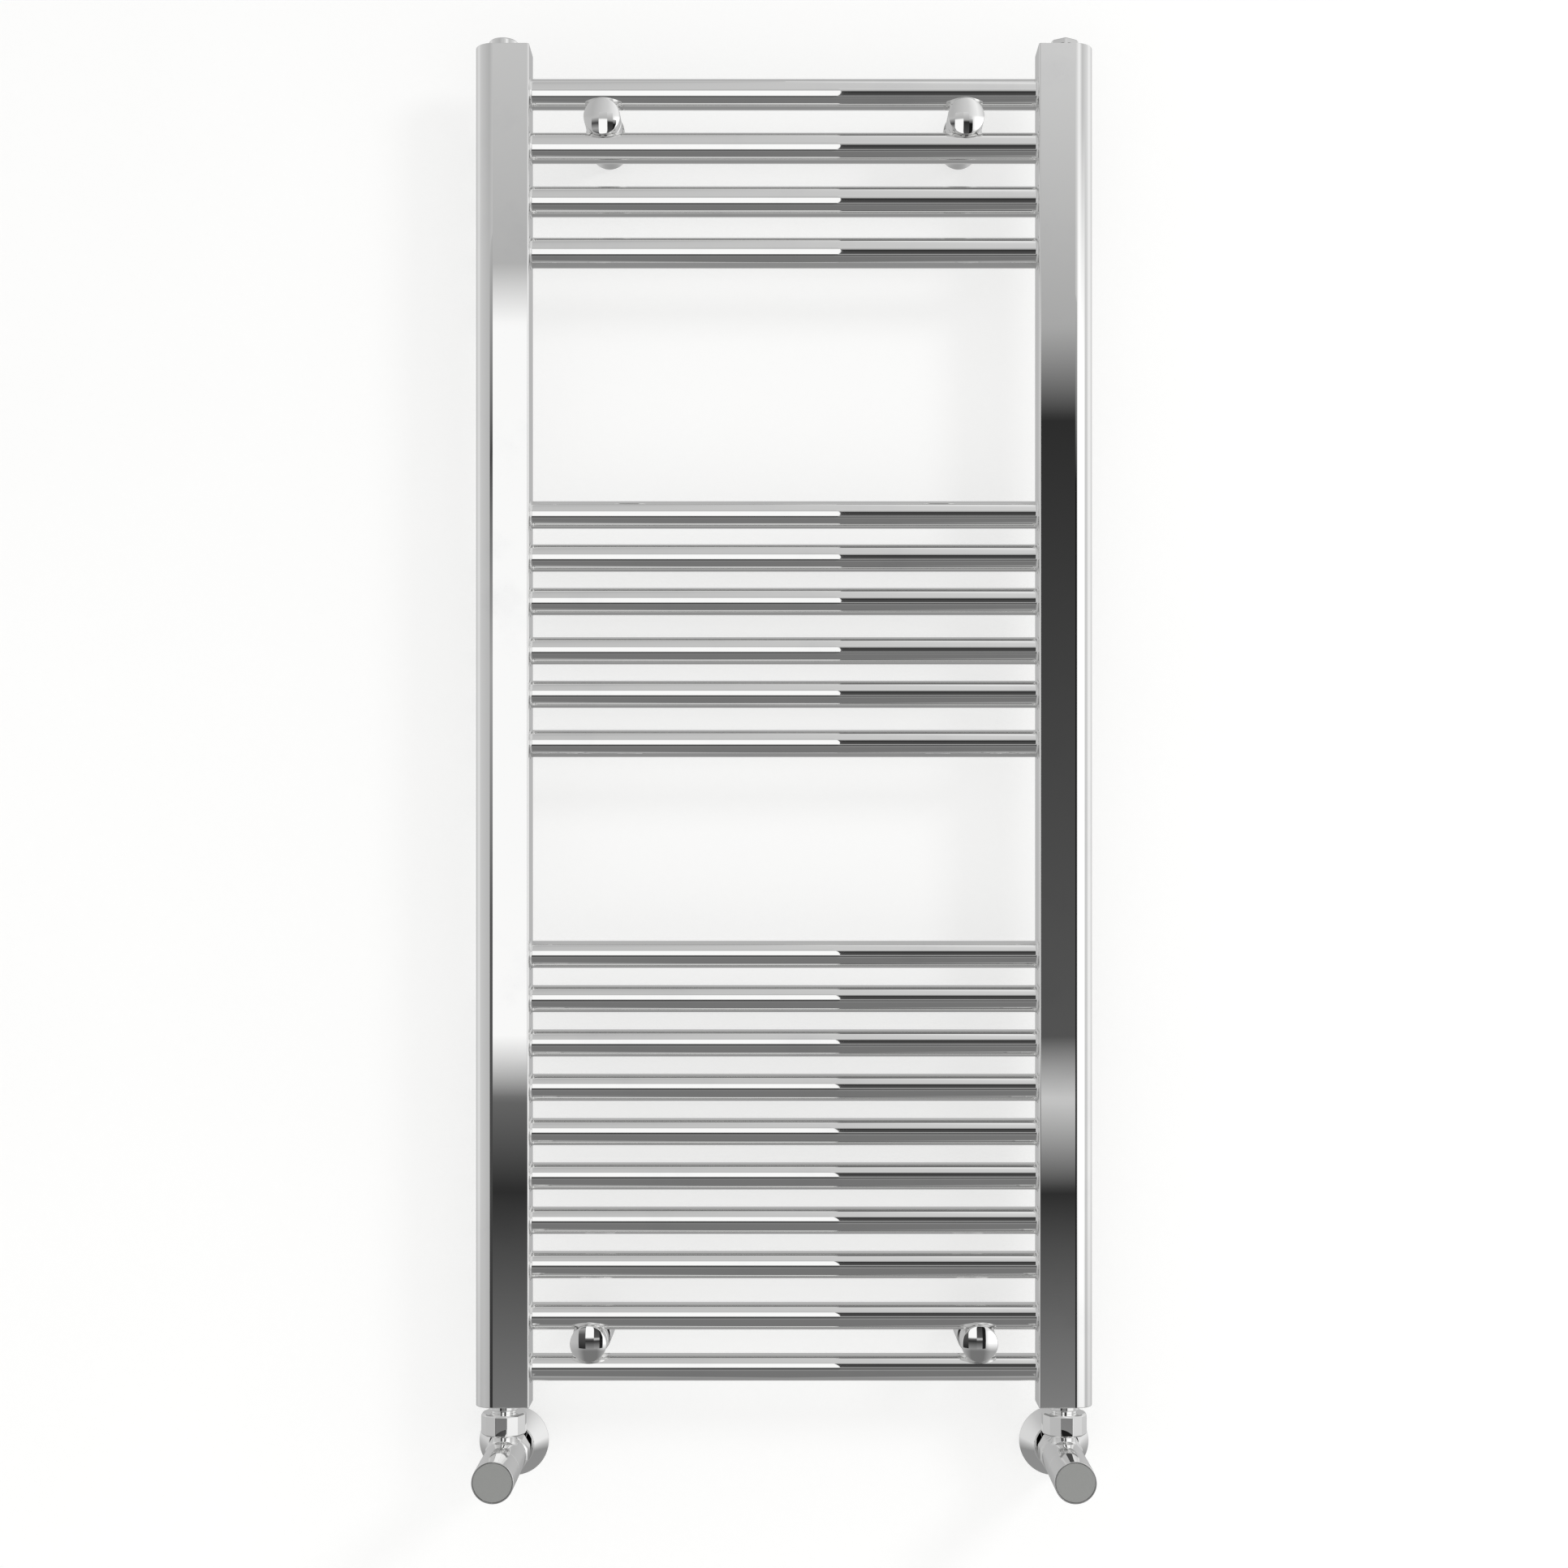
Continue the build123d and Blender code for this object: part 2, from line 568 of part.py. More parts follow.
def make_valve_body(name, side):
    """A turned barrel with an upright threaded neck, a seat inside and a threaded back end."""
    x = side * PORT_X
    neck_top = BASE_Z - NECK_TOP_DROP
    collar_top = BASE_Z - NECK_COLLAR_DROP
    collar_bottom = collar_top - NECK_COLLAR_LENGTH
    with BuildPart() as body:
        turned(
            x,
            VALVE_Z,
            [
                (BARREL_FRONT_Y, 0),
                (BARREL_FRONT_Y, BARREL_R),
                (BARREL_BACK_Y - BARREL_EDGE, BARREL_R),
                (BARREL_BACK_Y, BARREL_R - BARREL_EDGE),
                (BARREL_BACK_Y, GLAND_R),
                (BODY_END_Y, GLAND_R),
                (BODY_END_Y, 0),
            ],
        )
        turned_upright(
            x,
            [
                (0, VALVE_Z),
                (NECK_R, VALVE_Z),
                (NECK_R, collar_bottom - NECK_COLLAR_TAPER),
                (NECK_COLLAR_R, collar_bottom),
                (NECK_COLLAR_R, collar_top),
                (UNION_THREAD_R, collar_top),
                (UNION_THREAD_R, neck_top),
                (0, neck_top),
            ],
        )
        turned(
            x,
            VALVE_Z,
            [
                (BARREL_FRONT_Y, 0),
                (BARREL_FRONT_Y, GLAND_R),
                (CHAMBER_FRONT_Y, GLAND_R),
                (CHAMBER_FRONT_Y, CHAMBER_R),
                (SEAT_Y, CHAMBER_R),
                (SEAT_Y, SEAT_R),
                (PIPE_FRONT_Y, SEAT_R),
                (PIPE_FRONT_Y, PIPE_R),
                (PIPE_SOCKET_END_Y, PIPE_R),
                (BODY_END_Y, PIPE_R + PIPE_FLARE),
                (BODY_END_Y, 0),
            ],
            Mode.SUBTRACT,
        )
        post(x, VALVE_Z, neck_top, NECK_BORE_R, Mode.SUBTRACT)
    save(body, name)


def make_glands():
    """The glands that close each barrel's front and guide its spindle."""
    bore_r = SPINDLE_R + SLIDING_GAP
    ring_front = GLAND_RING_Y - GLAND_RING_WIDTH / 2
    ring_back = GLAND_RING_Y + GLAND_RING_WIDTH / 2
    with BuildPart() as glands:
        for _, side in SIDES:
            turned(
                side * PORT_X,
                VALVE_Z,
                [
                    (CHAMBER_FRONT_Y, GLAND_POCKET_R),
                    (CHAMBER_FRONT_Y, GLAND_R),
                    (BARREL_FRONT_Y, GLAND_R),
                    (BARREL_FRONT_Y, GLAND_NOSE_R),
                    (GLAND_NOSE_Y + GLAND_EDGE, GLAND_NOSE_R),
                    (GLAND_NOSE_Y, GLAND_NOSE_R - GLAND_EDGE),
                    (GLAND_NOSE_Y, bore_r),
                    (ring_front, bore_r),
                    (ring_front, SPINDLE_R + RING_GROOVE),
                    (ring_back, SPINDLE_R + RING_GROOVE),
                    (ring_back, bore_r),
                    (GLAND_POCKET_Y, bore_r),
                    (GLAND_POCKET_Y, GLAND_POCKET_R),
                ],
            )
    save(glands, "valve_glands")


def make_spindle(name, side):
    """A spindle that turns in the gland: square for the head, a collar inside and a threaded tip."""
    x = side * PORT_X
    with BuildPart() as spindle:
        turned(
            x,
            VALVE_Z,
            [
                (SPINDLE_TIP_Y, 0),
                (SPINDLE_TIP_Y, SPINDLE_TIP_R),
                (SPINDLE_COLLAR_BACK_Y, SPINDLE_TIP_R),
                (SPINDLE_COLLAR_BACK_Y, SPINDLE_COLLAR_R),
                (SPINDLE_COLLAR_FRONT_Y, SPINDLE_COLLAR_R),
                (SPINDLE_COLLAR_FRONT_Y, SPINDLE_R),
                (SPINDLE_ROUND_END_Y, SPINDLE_R),
                (SPINDLE_ROUND_END_Y, 0),
            ],
        )
        square_start = Plane(origin=(x, SPINDLE_ROUND_END_Y, VALVE_Z), x_dir=(1, 0, 0), z_dir=(0, -1, 0))
        with BuildSketch(square_start):
            Rectangle(SPINDLE_SQUARE, SPINDLE_SQUARE)
        extrude(amount=SPINDLE_SQUARE_LENGTH)
        chamfer(spindle.edges().group_by(Axis.Y)[0], SPINDLE_SQUARE_EDGE)
        end_y = SPINDLE_ROUND_END_Y - SPINDLE_SQUARE_LENGTH
        bar(x, VALVE_Z, end_y, end_y + SPINDLE_TAPPED_DEPTH, HEAD_SCREW_R, Mode.SUBTRACT)
    save(spindle, name)


def make_jumper(name, side):
    """The moving half of the shut-off: a plate with a threaded hub that rides on the spindle's tip."""
    boss_y = JUMPER_BACK_Y + JUMPER_BOSS
    plate_y = JUMPER_BACK_Y - JUMPER_PLATE
    with BuildPart() as jumper:
        turned(
            side * PORT_X,
            VALVE_Z,
            [
                (boss_y, 0),
                (boss_y, JUMPER_BOSS_R),
                (JUMPER_BACK_Y, JUMPER_BOSS_R),
                (JUMPER_BACK_Y, JUMPER_R),
                (plate_y, JUMPER_R),
                (plate_y, JUMPER_HUB_R),
                (JUMPER_HUB_FRONT_Y, JUMPER_HUB_R),
                (JUMPER_HUB_FRONT_Y, SPINDLE_TIP_R + SLIDING_GAP),
                (JUMPER_BORE_END_Y, SPINDLE_TIP_R + SLIDING_GAP),
                (JUMPER_BORE_END_Y, 0),
            ],
        )
    save(jumper, name)


def make_jumper_washer(name, side):
    """The soft washer that closes on the seat."""
    with BuildPart() as washer:
        bar(side * PORT_X, VALVE_Z, JUMPER_BACK_Y, SEAT_Y - SEAT_PLAY, JUMPER_R)
        bar(side * PORT_X, VALVE_Z, JUMPER_BACK_Y, SEAT_Y - SEAT_PLAY, JUMPER_BOSS_R, Mode.SUBTRACT)
    save(washer, name)


def head_blank(x):
    """The shell that both heads share: a cylinder with an eased front edge and a recess for its disc."""
    front = HEAD_FRONT_Y
    with BuildSketch(profile_plane(x, VALVE_Z)) as half:
        with BuildLine():
            Line((HEAD_BACK_Y, 0), (HEAD_BACK_Y, HEAD_R))
            Line((HEAD_BACK_Y, HEAD_R), (front + EASED_EDGE, HEAD_R))
            RadiusArc((front + EASED_EDGE, HEAD_R), (front, HEAD_R - EASED_EDGE), -EASED_EDGE)
            Line((front, HEAD_R - EASED_EDGE), (front, DISC_RECESS_R))
            Line((front, DISC_RECESS_R), (front + DISC_RECESS, DISC_RECESS_R))
            Line((front + DISC_RECESS, DISC_RECESS_R), (front + DISC_RECESS, 0))
            Line((front + DISC_RECESS, 0), (HEAD_BACK_Y, 0))
        make_face()
    revolve(half.sketch, axis=Axis((x, 0, VALVE_Z), (0, 1, 0)))


def make_wheelhead():
    """The hand-turned head of the left valve, driven by the spindle's square."""
    x = -PORT_X
    with BuildPart() as head:
        head_blank(x)
        bar(x, VALVE_Z, HEAD_HUB_FRONT_Y, HEAD_BACK_Y, HEAD_CAVITY_R, Mode.SUBTRACT)
        bar(x, VALVE_Z, HEAD_HUB_FRONT_Y, HEAD_HUB_BACK_Y, HEAD_HUB_R)
        socket = SPINDLE_SQUARE + HEAD_SOCKET_PLAY
        with BuildSketch(Plane(origin=(x, HEAD_SOCKET_FRONT_Y, VALVE_Z), x_dir=(1, 0, 0), z_dir=(0, 1, 0))):
            Rectangle(socket, socket)
        extrude(amount=HEAD_SOCKET_DEPTH, mode=Mode.SUBTRACT)
        bar(x, VALVE_Z, HEAD_FRONT_Y, HEAD_SOCKET_FRONT_Y, HEAD_SCREW_HOLE_R, Mode.SUBTRACT)
        bar(x, VALVE_Z, HEAD_FRONT_Y, HEAD_SCREW_SEAT_Y, HEAD_SCREW_SEAT_R, Mode.SUBTRACT)
    save(head, "left_wheelhead")


def make_head_screw():
    """The screw under the disc that keeps the wheelhead on its spindle."""
    x = -PORT_X
    with BuildPart() as screw:
        bar(x, VALVE_Z, HEAD_SCREW_SEAT_Y, HEAD_SCREW_TIP_Y, HEAD_SCREW_R)
        head_y = HEAD_SCREW_SEAT_Y - HEAD_SCREW_HEAD
        bar(x, VALVE_Z, head_y, HEAD_SCREW_SEAT_Y, HEAD_SCREW_HEAD_R)
        with BuildSketch(Plane(origin=(x, head_y, VALVE_Z), x_dir=(1, 0, 0), z_dir=(0, 1, 0))):
            Rectangle(HEAD_SCREW_CROSS, HEAD_SCREW_CROSS_WIDTH)
            Rectangle(HEAD_SCREW_CROSS_WIDTH, HEAD_SCREW_CROSS)
        extrude(amount=HEAD_SCREW_CROSS_DEPTH, mode=Mode.SUBTRACT)
    save(screw, "left_head_screw")


def make_lockshield_cap():
    """The pull-off cover of the right valve, a push fit over the gland's nose."""
    x = PORT_X
    with BuildPart() as cap:
        head_blank(x)
        bar(x, VALVE_Z, CAP_FLOOR_Y, HEAD_BACK_Y, HEAD_CAVITY_R, Mode.SUBTRACT)
        bar(x, VALVE_Z, CAP_FLOOR_Y, CAP_SLEEVE_BACK_Y, CAP_SLEEVE_R)
        sleeve_bore = GLAND_NOSE_R + CAP_SLEEVE_GAP
        bar(x, VALVE_Z, CAP_FLOOR_Y, CAP_SLEEVE_BACK_Y, sleeve_bore, Mode.SUBTRACT)
    save(cap, "right_lockshield_cap")


def make_head_disc(name, side):
    """The grey disc let into the front of a head."""
    seat = HEAD_FRONT_Y + DISC_RECESS
    with BuildPart() as disc:
        bar(side * PORT_X, VALVE_Z, HEAD_FRONT_Y + DISC_INSET, seat, DISC_R)
        chamfer(disc.edges().group_by(Axis.Y)[0], DISC_EDGE)
    save(disc, name)


def make_pipe_nuts():
    """Compression nuts that close each pipe into its valve."""
    with BuildPart() as nuts:
        for _, side in SIDES:
            x = side * PORT_X
            face = Plane(origin=(x, PIPE_NUT_FRONT_Y, VALVE_Z), x_dir=(1, 0, 0), z_dir=(0, 1, 0))
            with BuildSketch(face):
                RegularPolygon(PIPE_NUT_R, NUT_SIDES, rotation=180 / NUT_SIDES)
            extrude(amount=PIPE_NUT_BACK_Y - PIPE_NUT_FRONT_Y)
        for _, side in SIDES:
            x = side * PORT_X
            cut_nut_rim(x, PIPE_NUT_BACK_Y, -1)
            cut_nut_rim(x, PIPE_NUT_FRONT_Y, 1)
            turned(
                x,
                VALVE_Z,
                [
                    (PIPE_NUT_FRONT_Y, 0),
                    (PIPE_NUT_FRONT_Y, GLAND_R),
                    (PIPE_NUT_FLOOR_Y, GLAND_R),
                    (PIPE_NUT_FLOOR_Y, PIPE_R + PIPE_FLARE),
                    (PIPE_NUT_CONE_END_Y, PIPE_R + PIPE_NUT_GAP),
                    (PIPE_NUT_BACK_Y, PIPE_R + PIPE_NUT_GAP),
                    (PIPE_NUT_BACK_Y, 0),
                ],
                Mode.SUBTRACT,
            )
    save(nuts, "pipe_nuts")


def make_olives():
    """The soft rings squeezed between nut, body and pipe."""
    front = OLIVE_Y - OLIVE_HALF
    back = OLIVE_Y + OLIVE_HALF
    with BuildPart() as olives:
        for _, side in SIDES:
            turned(
                side * PORT_X,
                VALVE_Z,
                [
                    (front, PIPE_R),
                    (front, OLIVE_END_R),
                    (OLIVE_Y, OLIVE_R),
                    (back, OLIVE_END_R),
                    (back, PIPE_R),
                ],
            )
    save(olives, "pipe_olives")


def make_pipe(name, side):
    """The supply pipe, with a shallow setting-out ring where it enters the wall."""
    bore = PIPE_R - PIPE_WALL
    ring = PIPE_R - PIPE_MARK
    ring_end_y = PIPE_MARK_START_Y + PIPE_MARK_WIDTH
    slope = PIPE_MARK_WIDTH / 4
    with BuildPart() as pipe:
        turned(
            side * PORT_X,
            VALVE_Z,
            [
                (PIPE_FRONT_Y, bore),
                (PIPE_FRONT_Y, PIPE_R),
                (PIPE_MARK_START_Y, PIPE_R),
                (PIPE_MARK_START_Y + slope, ring),
                (ring_end_y - slope, ring),
                (ring_end_y, PIPE_R),
                (PIPE_END_Y, PIPE_R),
                (PIPE_END_Y, bore),
            ],
        )
    save(pipe, name)


def make_rosette(name, side):
    """The cone that covers the hole in the wall and slides along its pipe."""
    x = side * PORT_X
    nose = -ROSETTE_DEPTH
    hole = PIPE_R + ROSETTE_HOLE_GAP
    with BuildPart() as rosette:
        turned(
            x,
            VALVE_Z,
            [
                (0, ROSETTE_R - ROSETTE_WALL),
                (0, ROSETTE_R),
                (-ROSETTE_RIM, ROSETTE_R),
                (nose + ROSETTE_NOSE_EDGE, ROSETTE_NOSE_R),
                (nose, ROSETTE_NOSE_R - ROSETTE_NOSE_EDGE),
                (nose, hole),
                (nose + ROSETTE_WALL, hole),
                (nose + ROSETTE_WALL, ROSETTE_NOSE_R - ROSETTE_WALL),
                (-ROSETTE_RIM, ROSETTE_R - ROSETTE_WALL),
            ],
        )
    save(rosette, name)


def make_o_rings():
    """Sealing rings: under both plugs, on both tails and round both spindles."""
    half = RING_GROOVE / 2
    seats = []
    for _, side in SIDES:
        x = side * PORT_X
        seats.append((Plane(origin=(x, RAIL_Y, TOP_Z + half)), PORT_R + half))
        seats.append((Plane(origin=(x, RAIL_Y, BASE_Z - half)), PORT_R + half))
        gland_seat = Plane(origin=(x, GLAND_RING_Y, VALVE_Z), x_dir=(1, 0, 0), z_dir=(0, 1, 0))
        seats.append((gland_seat, SPINDLE_R + SLIDING_GAP + RING_R))
    with BuildPart() as rings:
        for plane, radius in seats:
            with Locations(plane):
                Torus(radius, RING_R)
    save(rings, "o_rings")


for side_name, side_sign in SIDES:
    make_collector(side_name + "_collector", side_sign)
    make_valve_body(side_name + "_valve_body", side_sign)
    make_spindle(side_name + "_spindle", side_sign)
    make_jumper(side_name + "_jumper", side_sign)
    make_jumper_washer(side_name + "_jumper_washer", side_sign)
    make_head_disc(side_name + "_head_disc", side_sign)
    make_pipe(side_name + "_pipe", side_sign)
    make_rosette(side_name + "_rosette", side_sign)
make_end_sockets()
for number, (rail_z, rail_radius) in enumerate(RAILS, start=1):
    make_rail(f"rail_{number:02d}", rail_z, rail_radius)
for corner, bracket_x, bracket_z, held_r, held_pitch in BRACKETS:
    make_bracket_cap(corner + "_bracket_cap", bracket_x, bracket_z, held_r, held_pitch)
    make_wall_cup(corner + "_wall_cup", bracket_x, bracket_z)
make_bracket_stems()
make_clamp_bolts()
make_grub_screws()
make_plugs()
make_union_nuts()
make_tails()
make_glands()
make_wheelhead()
make_head_screw()
make_lockshield_cap()
make_pipe_nuts()
make_olives()
make_o_rings()
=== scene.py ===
# %% [markdown]
# # A chromed ladder towel radiator, finished around its CAD frame
# The CAD frame holds every size, fit and joint of this radiator: two D-shaped collectors, twenty rails,
# four telescopic wall brackets and a valve under each collector. Chrome is a mirror, so it shows the
# smallest facet, and the frame's meshes are coarse. This lesson therefore rebuilds each piece as a fine,
# smooth surface worked out with numpy, in the place that the frame gives, and then gives it a finish.

# %% Load the frame
import json
import math

import bmesh
import bpy
import numpy as np
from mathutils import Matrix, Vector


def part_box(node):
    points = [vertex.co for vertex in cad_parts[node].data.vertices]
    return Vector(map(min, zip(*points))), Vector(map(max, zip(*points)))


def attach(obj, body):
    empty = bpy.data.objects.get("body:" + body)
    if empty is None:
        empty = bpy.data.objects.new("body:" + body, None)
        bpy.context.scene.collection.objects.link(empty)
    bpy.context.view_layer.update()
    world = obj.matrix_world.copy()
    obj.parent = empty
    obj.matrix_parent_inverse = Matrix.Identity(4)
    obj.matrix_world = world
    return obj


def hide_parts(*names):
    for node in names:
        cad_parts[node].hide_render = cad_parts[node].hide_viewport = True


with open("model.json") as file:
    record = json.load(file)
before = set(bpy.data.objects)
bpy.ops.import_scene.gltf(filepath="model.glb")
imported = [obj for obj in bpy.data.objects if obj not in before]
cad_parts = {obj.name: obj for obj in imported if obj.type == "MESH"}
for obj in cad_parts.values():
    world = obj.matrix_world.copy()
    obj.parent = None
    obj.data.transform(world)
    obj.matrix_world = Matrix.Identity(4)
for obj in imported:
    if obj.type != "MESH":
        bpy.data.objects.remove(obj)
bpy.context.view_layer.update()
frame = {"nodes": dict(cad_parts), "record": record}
MM = 0.001
MOUNTS = {mount["name"]: np.array(mount["pos_m"]) for mount in frame["record"]["mounts"]}

# %% [markdown]
# ## Places taken from the frame
# A node's box says where it is. Both valves are alike, so the valve's own points are read once, from the
# right valve, and mirrored. Lengths are in metres; a small size is written as a number of millimetres.

# %% Key places
def span(node):
    """Lowest and highest corner of a CAD node as two arrays."""
    low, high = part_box(node)
    return np.array(low), np.array(high)


COLLECTOR_LOW, COLLECTOR_HIGH = span("right_collector")
RAIL_Y = (COLLECTOR_LOW[1] + COLLECTOR_HIGH[1]) / 2
BASE_Z, TOP_Z = COLLECTOR_LOW[2], COLLECTOR_HIGH[2]
PORT_X = MOUNTS["right_pipe_end"][0]
VALVE_Z = MOUNTS["right_pipe_end"][2]
SIDES = (("left", -1), ("right", 1))
print("rail plane", round(RAIL_Y, 4), "ends", round(BASE_Z, 4), round(TOP_Z, 4), "valve", PORT_X, VALVE_Z)

# %% [markdown]
# ## Outlines with eased corners
# No real edge is perfectly sharp: a ground or turned corner has a small radius, and on chrome that radius
# is a bright line. `eased` replaces each corner of an outline by an arc. `propped` then adds a point just
# inside both ends of every straight run, so that the smooth shading of an arc can't bend the reflection in
# the flat beside it. This does by numbers what a modeller does with support loops.

# %% Corner tools
def eased(corners, radius, closed=True, steps=5):
    """Each corner becomes an arc of the radius. Its centre lies on the corner's bisector, radius / sin(half
    angle) away, and its points turn evenly from one side's tangent point to the other's."""
    points = np.asarray(corners, float)
    radii = np.broadcast_to(np.asarray(radius, float), len(points)).copy()
    if not closed:
        radii[[0, -1]] = 0.0
    back = np.roll(points, 1, axis=0) - points
    ahead = np.roll(points, -1, axis=0) - points
    back_length = np.linalg.norm(back, axis=1)
    ahead_length = np.linalg.norm(ahead, axis=1)
    back /= back_length[:, None]
    ahead /= ahead_length[:, None]
    half = np.arccos(np.clip((back * ahead).sum(1), -1, 1)) / 2
    half = np.clip(half, 0.01, math.pi / 2 - 0.001)
    reach = np.minimum(radii / np.tan(half), 0.49 * np.minimum(back_length, ahead_length))
    bisector = back + ahead
    bisector /= np.maximum(np.linalg.norm(bisector, axis=1), 1e-9)[:, None]
    centre = points + bisector * (reach / np.cos(half))[:, None]
    start = points + back * reach[:, None] - centre
    end = points + ahead * reach[:, None] - centre
    turn = (math.pi - 2 * half)[:, None]
    part = np.linspace(0, 1, steps + 1)[None, :]
    first = np.sin((1 - part) * turn) / np.sin(turn)
    second = np.sin(part * turn) / np.sin(turn)
    run = centre[:, None] + start[:, None] * first[..., None] + end[:, None] * second[..., None]
    run = run.reshape(-1, points.shape[1])
    moved = np.linalg.norm(run - np.roll(run, 1, axis=0), axis=1) > 1e-7
    moved[0] = moved[0] or not closed
    return run[moved]


def propped(outline, gap=0.35 * MM, closed=True):
    """Adds a point at the gap from both ends of each straight run that is longer than four gaps."""
    ahead = np.roll(outline, -1, axis=0) - outline
    length = np.linalg.norm(ahead, axis=1)
    step = ahead / np.maximum(length, 1e-9)[:, None] * gap
    rows = np.stack([outline, outline + step, outline + ahead - step], axis=1)
    long = length > 4 * gap
    if not closed:
        long[-1] = False
    keep = np.stack([np.ones_like(long), long, long], axis=1)
    return rows[keep]


# %% [markdown]
# ## From a grid of points to a mesh
# Every surface here is a grid: its columns go round an axis and always close on themselves, and its rows
# follow a profile. A ring-shaped profile closes too, and any other starts and ends on the axis, where its
# points are merged into one pole. A piece may hold several such shells.

# %% Mesh tools
def round_spokes(columns=96):
    """Unit directions, evenly once round."""
    angle = np.arange(columns) * (2 * math.pi / columns)
    return np.stack([np.cos(angle), np.sin(angle)], axis=1)


def swept(along, reach, spokes, centre, axis="y"):
    """Rows by columns of points: centre + along * axis + reach * spoke, where along and reach are one value
    for each row, or for each row and column, and there is one spoke for each column."""
    basis = np.roll(np.eye(3), -"xyz".index(axis), axis=0)
    spoke = spokes[:, :1] * basis[1] + spokes[:, 1:] * basis[2]
    along, reach = np.broadcast_arrays(*(grid.reshape(len(grid), -1) for grid in (along, reach)))
    along = np.broadcast_to(along, (len(along), len(spokes)))
    reach = np.broadcast_to(reach, (len(reach), len(spokes)))
    return np.asarray(centre, float) + along[..., None] * basis[0] + reach[..., None] * spoke


def turned(profile, centre, axis="y", columns=96):
    """Carries an (along, radius) profile once round the axis through centre."""
    along, reach = np.asarray(profile, float).T
    return swept(along, reach, round_spokes(columns), centre, axis)


def shape_of(outline):
    """Splits a closed outline round the origin into unit spokes and one reach for each column."""
    reach = np.linalg.norm(outline, axis=1)
    return outline / reach[:, None], reach


def polygon(sides, across_flats, radius, turn=0.0):
    """The corners of a regular polygon with the given distance from flat to flat, eased to the radius."""
    angle = turn + (np.arange(sides) + 0.5) * (2 * math.pi / sides)
    corner = across_flats / 2 / math.cos(math.pi / sides)
    corners = corner * np.stack([np.cos(angle), np.sin(angle)], axis=1)
    return propped(eased(corners, radius, steps=4), gap=0.3 * MM)


def grid_faces(rows, columns, ring, first):
    """Quads between neighbouring rows and columns of a grid whose points start at index first."""
    lower = np.arange(rows if ring else rows - 1)[:, None]
    upper = (lower + 1) % rows
    left = np.arange(columns)[None, :]
    right = (left + 1) % columns
    low, high = lower * columns, upper * columns
    corners = [low + left, low + right, high + right, high + left]
    return np.stack(corners, axis=-1).reshape(-1, 4) + first


def make_piece(name, shells, finish, body, nodes, sharp=32):
    """Builds one object from (grid, is_ring) shells, closes its poles, turns its faces outwards, keeps
    edges over the sharp angle crisp, and rides it on its body in the place of its CAD nodes."""
    points, faces, first = [], [], 0
    for grid, ring in shells:
        points.append(grid.reshape(-1, 3))
        faces.append(grid_faces(grid.shape[0], grid.shape[1], ring, first))
        first += grid.shape[0] * grid.shape[1]
    mesh = bpy.data.meshes.new(name)
    mesh.from_pydata(np.concatenate(points).tolist(), [], np.concatenate(faces).tolist())
    work = bmesh.new()
    work.from_mesh(mesh)
    bmesh.ops.remove_doubles(work, verts=work.verts, dist=1e-7)
    bmesh.ops.dissolve_degenerate(work, edges=work.edges, dist=1e-8)
    bmesh.ops.recalc_face_normals(work, faces=work.faces)
    work.to_mesh(mesh)
    work.free()
    mesh.shade_smooth()
    mesh.set_sharp_from_angle(angle=math.radians(sharp))
    piece = bpy.data.objects.new(name, mesh)
    bpy.context.scene.collection.objects.link(piece)
    mesh.materials.append(finish)
    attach(piece, body)
    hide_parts(*nodes)
    return piece


# %% [markdown]
# ## Finishes
# Bright chrome is a mirror with very little colour of its own. What makes it look real is what disturbs the
# mirror: a faint wipe haze that softens it in patches, a few dried drops of water, and a ripple left in the
# tube by rolling and polishing that is too shallow to see except where a straight reflection wavers. The
# haze and the ripple are one node group, used by every metal here with its own values.

# %% Node helpers
def node(tree, kind, **settings):
    """Adds a node and sets its properties and the inputs given by name."""
    made = tree.nodes.new(kind)
    for key, value in settings.items():
        if key in made.inputs:
            made.inputs[key].default_value = value
        else:
            setattr(made, key, value)
    return made


def new_group(name, inputs, outputs):
    """A shader node group with named float or vector sockets; returns its tree and its two end nodes."""
    tree = bpy.data.node_groups.new(name, "ShaderNodeTree")
    for label, kind, value in inputs:
        socket = tree.interface.new_socket(label, in_out="INPUT", socket_type=kind)
        if value is not None:
            socket.default_value = value
    for label, kind in outputs:
        tree.interface.new_socket(label, in_out="OUTPUT", socket_type=kind)
    return tree, tree.nodes.new("NodeGroupInput"), tree.nodes.new("NodeGroupOutput")


def new_material(name):
    """A material with its node tree and its main shader."""
    material = bpy.data.materials.new(name)
    material.use_nodes = True
    tree = material.node_tree
    return material, tree, tree.nodes["Principled BSDF"]


